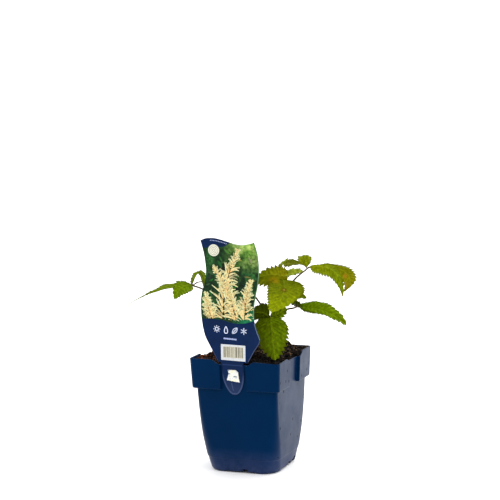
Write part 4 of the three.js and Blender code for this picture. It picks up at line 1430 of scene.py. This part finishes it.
def bladeHalf(blade, wing, normal, shift, depth):
    # one side of a blade over t along the midrib and s from the rib out: its places, the directions
    # square to its skin, vein strengths, shares out from the rib and factors of painted light and shade.
    # Its width is the wing's reach times the blade's fullness. Big and small saw teeth stand on its edge,
    # side veins slant forward to each big tooth, and it swells between them, with painted shade in the
    # valleys and painted highlight on the swells.
    look = bladeLook
    t, s, seed = blade["t"], np.array(look["columns"]), blade["seed"]
    reach = np.linalg.norm(wing)
    wide = reach * blade["full"] + look["tipHalf"]
    far = s * wide
    room = np.minimum(1, wide / 6)
    phase = t * blade["teeth"] + shift
    ending = smoothStep(0, 0.04, t) * (1 - smoothStep(0.97, 1, t))
    big, small = sawTooth(phase), sawTooth(phase * 3)
    uneven = 1 + look["unevenTeeth"] * np.sin(np.floor(phase) * 12.9 + seed * 5.1)
    tooth = big * uneven - 0.5 + look["smallTeeth"] * (small - 0.5)
    tooth = tooth * look["toothHeight"] * room * ending
    forward = big * look["toothForward"] * room * ending
    # how far each point is from the nearest side vein
    slant = np.minimum(look["veinSlant"] * wide / blade["pitch"], look["veinReach"])
    q = phase + slant * (1 - s) - look["apex"]
    off = np.abs(q - np.round(q)) * blade["pitch"] * 0.8
    quilted = 1 - np.exp(-((off / 0.75) ** 2))
    nearRib = 1 - np.exp(-((far / 0.9) ** 2))
    inner = np.sin(np.clip(s, 0.02, 0.98) * math.pi) ** 0.5
    fade = smoothStep(0, 0.08, t) * (1 - smoothStep(0.9, 1, t))
    relief = look["quilt"] * quilted * inner * nearRib * fade + look["groove"] * (nearRib - 1)
    relief = relief + look["arch"] * room * s * (1 - s) * 2.4
    relief = relief + look["wave"] * room * s**3 * np.sin(t * 2 * math.pi * 3.3 + seed)
    bend = smoothStep(0, 0.16, s)[:, None]
    direction = unit(between(blade["centre"][:, None], normal[:, None], bend))
    out = (far + tooth * s**6)[..., None]
    place = blade["middle"][:, None] + wing / reach * out
    place = place + blade["along"][:, None] * (forward * s**6)[..., None] + direction * relief[..., None]
    sideVein = np.exp(-((off / 0.4) ** 2)) * (1 - 0.5 * s) * fade
    veins = np.maximum(0.8 * sideVein, np.exp(-((far / 0.7) ** 2)))
    quilt = stacked(q * 1.6, far / 2.4, seed + shift)
    patches = 0.6 * noiseAt(quilt, 1.0, 2) + 0.4 * noiseAt(quilt, 0.45, 3)
    # painted shade in the valleys beside the side veins and painted highlight on the swells, over a random
    # mottle
    lit = 1 + blade["veining"] * (0.75 * patches + 0.6 * (quilted - 0.75))
    # painted shade or light over the whole half away from the rib: depth is this half's factor
    lit = lit * (1 + (depth - 1) * smoothStep(0.1, 0.8, s))
    return place, direction, veins, np.broadcast_to(s, off.shape), np.maximum(lit, 0.25)


def bladePart(rib, left, right, base, tip, baseTone, tipTone, seed, paintedHalfShade, veining):
    # two halves side by side, thinner towards the edge, skinned over both faces, their tone running
    # from base to tip and carrying the painted light and shade of each half. Fullness is
    # (t / widest)^base * ((1 - t) / (1 - widest))^tip.
    length = np.linalg.norm(np.diff(ribAt(rib, np.linspace(0, 1, 60)), axis=0), axis=1).sum()
    teeth = max(5, round(length / bladeLook["toothPitch"]))
    t = np.linspace(0, 1, teeth * bladeLook["perTooth"] + 1)
    along = unit(ribAt(rib, np.minimum(t + 0.01, 1)) - ribAt(rib, np.maximum(t - 0.01, 0)))
    widest = base / (base + tip)
    full = (t / widest) ** base * ((1 - t) / (1 - widest)) ** tip
    wings = [np.asarray(wing, float) for wing in (left, right)]
    normals = [unit(np.cross(along, wing)) * sign for wing, sign in zip(wings, (1, -1))]
    blade = {
        "t": t[:, None], "full": full[:, None], "teeth": teeth, "pitch": length / teeth, "along": along,
        "middle": ribAt(rib, t), "centre": unit(sum(normals)), "seed": seed, "veining": veining,
    }
    halves = [bladeHalf(blade, *each) for each in zip(wings, normals, (0.0, 0.37), paintedHalfShade)]
    place, direction, vein, out, lit = (
        np.concatenate([first[:, :0:-1], second], axis=1) for first, second in zip(*halves)
    )
    half = bladeLook["thick"] * (0.55 + 0.45 * (1 - out**4)) / 2
    top = place + direction * half[..., None]
    bottom = place - direction * (half + bladeLook["veinDepth"] * vein)[..., None]
    part = closedRings(np.concatenate([top, bottom[:, ::-1]], axis=1))

    def onSkin(upper, lower, ends=None):
        # a mark over the top of each ring and back under it, then at the blade's two end middles
        flat = np.concatenate([upper, lower[:, ::-1]], axis=1).ravel()
        return np.append(flat, flat[[0, -1]] if ends is None else ends)

    share = onSkin(0 * out + t[:, None], 0 * out + t[:, None])[:, None]
    # the tint: the leaflet's colours times its painted light and shade
    tone = between(fromScreen(*baseTone), fromScreen(*tipTone), share) * onSkin(lit, lit)[:, None]
    part["marks"] = {
        "vein": onSkin(vein * veining, vein * veining, [1, 1]), "rim": onSkin(out, out, [0, 0]),
        "under": onSkin(0 * out, 0 * out + 1, [0.5, 0.5]), "tint": np.insert(tone, 3, 1.0, axis=1),
    }
    return part


def stalkPart(points, startRadius, endRadius, steps, seed, sides=10):
    # a tube along a smooth curve, its radius and tone running evenly from start to end
    share = np.linspace(0, 1, steps + 1)
    path = curveThrough(points, share)
    part = tube(path, between(startRadius, endRadius, share), sides, seed, 0.07)
    height = np.append(np.repeat(share, sides), [0, 1])[:, None]
    tone = between(fromScreen(*bladeLook["stalkLow"]), fromScreen(*bladeLook["stalkHigh"]), height)
    blank = np.zeros(len(height))
    part["marks"] = {"vein": blank, "rim": blank, "under": blank, "tint": np.insert(tone, 3, 1.0, axis=1)}
    return part


def leafMaterial():
    # blade and stalk: own tint, on the blades with painted shade and highlight in it, mottled and
    # netted cells, slightly paler veins that are partly a painted highlight, browner edges
    material, tree, shader, place = newMaterial(
        "leafSkin", Specular_IOR_Level=0.012, IOR=1.3, Specular_Tint=bladeLook["sheen"]
    )
    tint = readMark(tree, "tint", "Color")
    vein, rim, under = (readMark(tree, name) for name in ("vein", "rim", "under"))
    mottle = noiseNode(tree, place, 320.0, 5.0, 0.65)
    shade = mixed(tree, 1.0, tint, rampNode(tree, mottle, bladeLook["mottling"]), "MULTIPLY")
    broken = spread(tree, mottle, 0.35, 0.65, 1.0, 0.65)
    for middle, radius, tone in bladeLook["spots"]:
        away = vectorNode(tree, "DISTANCE", place, [mm * part for part in middle], "Value")
        near = spread(tree, away, radius * mm, radius * mm * 0.4)
        shade = mixed(tree, mathNode(tree, near, broken), shade, colour(*tone))
    cells = cellNode(tree, place, 700.0, "DISTANCE_TO_EDGE")
    # the pale tone over veins and the net of cells: partly their own paler colour, partly a painted
    # highlight
    pale = mixed(tree, 0.4, tint, colour(*bladeLook["veinPaleAndHighlight"]))
    shade = mixed(tree, spread(tree, cells, 0.0, 0.14, 0.22, 0.0), shade, pale)
    faint = spread(tree, noiseNode(tree, place, 90.0), 0.35, 0.65, 0.35, 1.0)
    shade = mixed(tree, mathNode(tree, spread(tree, vein, 0.15, 1.0, 0.0, 0.8), faint), shade, pale)
    patchy = spread(tree, noiseNode(tree, place, 60.0), 0.4, 0.6, 0.25, 0.8)
    edge = mathNode(tree, spread(tree, rim, 0.8, 1.0), patchy)
    shade = mixed(tree, edge, shade, colour(*bladeLook["burnt"]))
    below = spread(tree, under, 0.0, 1.0, 0.0, 0.12)
    shade = mixed(tree, below, shade, colour(*bladeLook["underside"]))
    tree.links.new(shade, shader.inputs["Base Color"])
    tree.links.new(spread(tree, mottle, 0.3, 0.7, 0.45, 0.6), shader.inputs["Roughness"])
    netted = bumped(tree, shader, cells, 0.00025, 0.5)
    bumped(tree, shader, noiseNode(tree, place, 420.0, 4.0), 0.0004, 0.35, under=netted)
    return material


def makeLeaves():
    # a stalk to each leaf, a short stalk to each leaflet, and the leaflets
    skin = leafMaterial()
    seed = 1
    top = bladeLook["stalkTop"]
    for node, leaf in leafTable.items():
        parts = [stalkPart(leaf["stalk"], bladeLook["stalkFoot"], top, 90, seed)]
        if "side" in leaf:
            parts.append(stalkPart(leaf["side"], top, bladeLook["sideEnd"], 24, seed))
        for index, (rib, left, right, base, tip, *tones) in enumerate(leaf["leaflets"]):
            seed += 1
            start = leaf["side"][-1] if leaf.get("onSide") == index else leaf["stalk"][-1]
            way = [start, *ribAt(rib, [0.02, 0.1])]
            parts.append(stalkPart(way, top * 0.9, bladeLook["leafletEnd"], 12, seed))
            paintedHalfShade = leaf.get("paintedHalfShade", {}).get(index, (1.0, 1.0))
            parts.append(bladePart(rib, left, right, base, tip, *tones, seed, paintedHalfShade, leaf["veining"]))
        name = "".join(word.capitalize() for word in node.split("_")[1:])
        makePiece("leaf" + name, joined(parts), skin, 75, (node,))


makeLeaves()

# Finish: the view layer brought up to date

print("stage: finish")
bpy.context.view_layer.update()
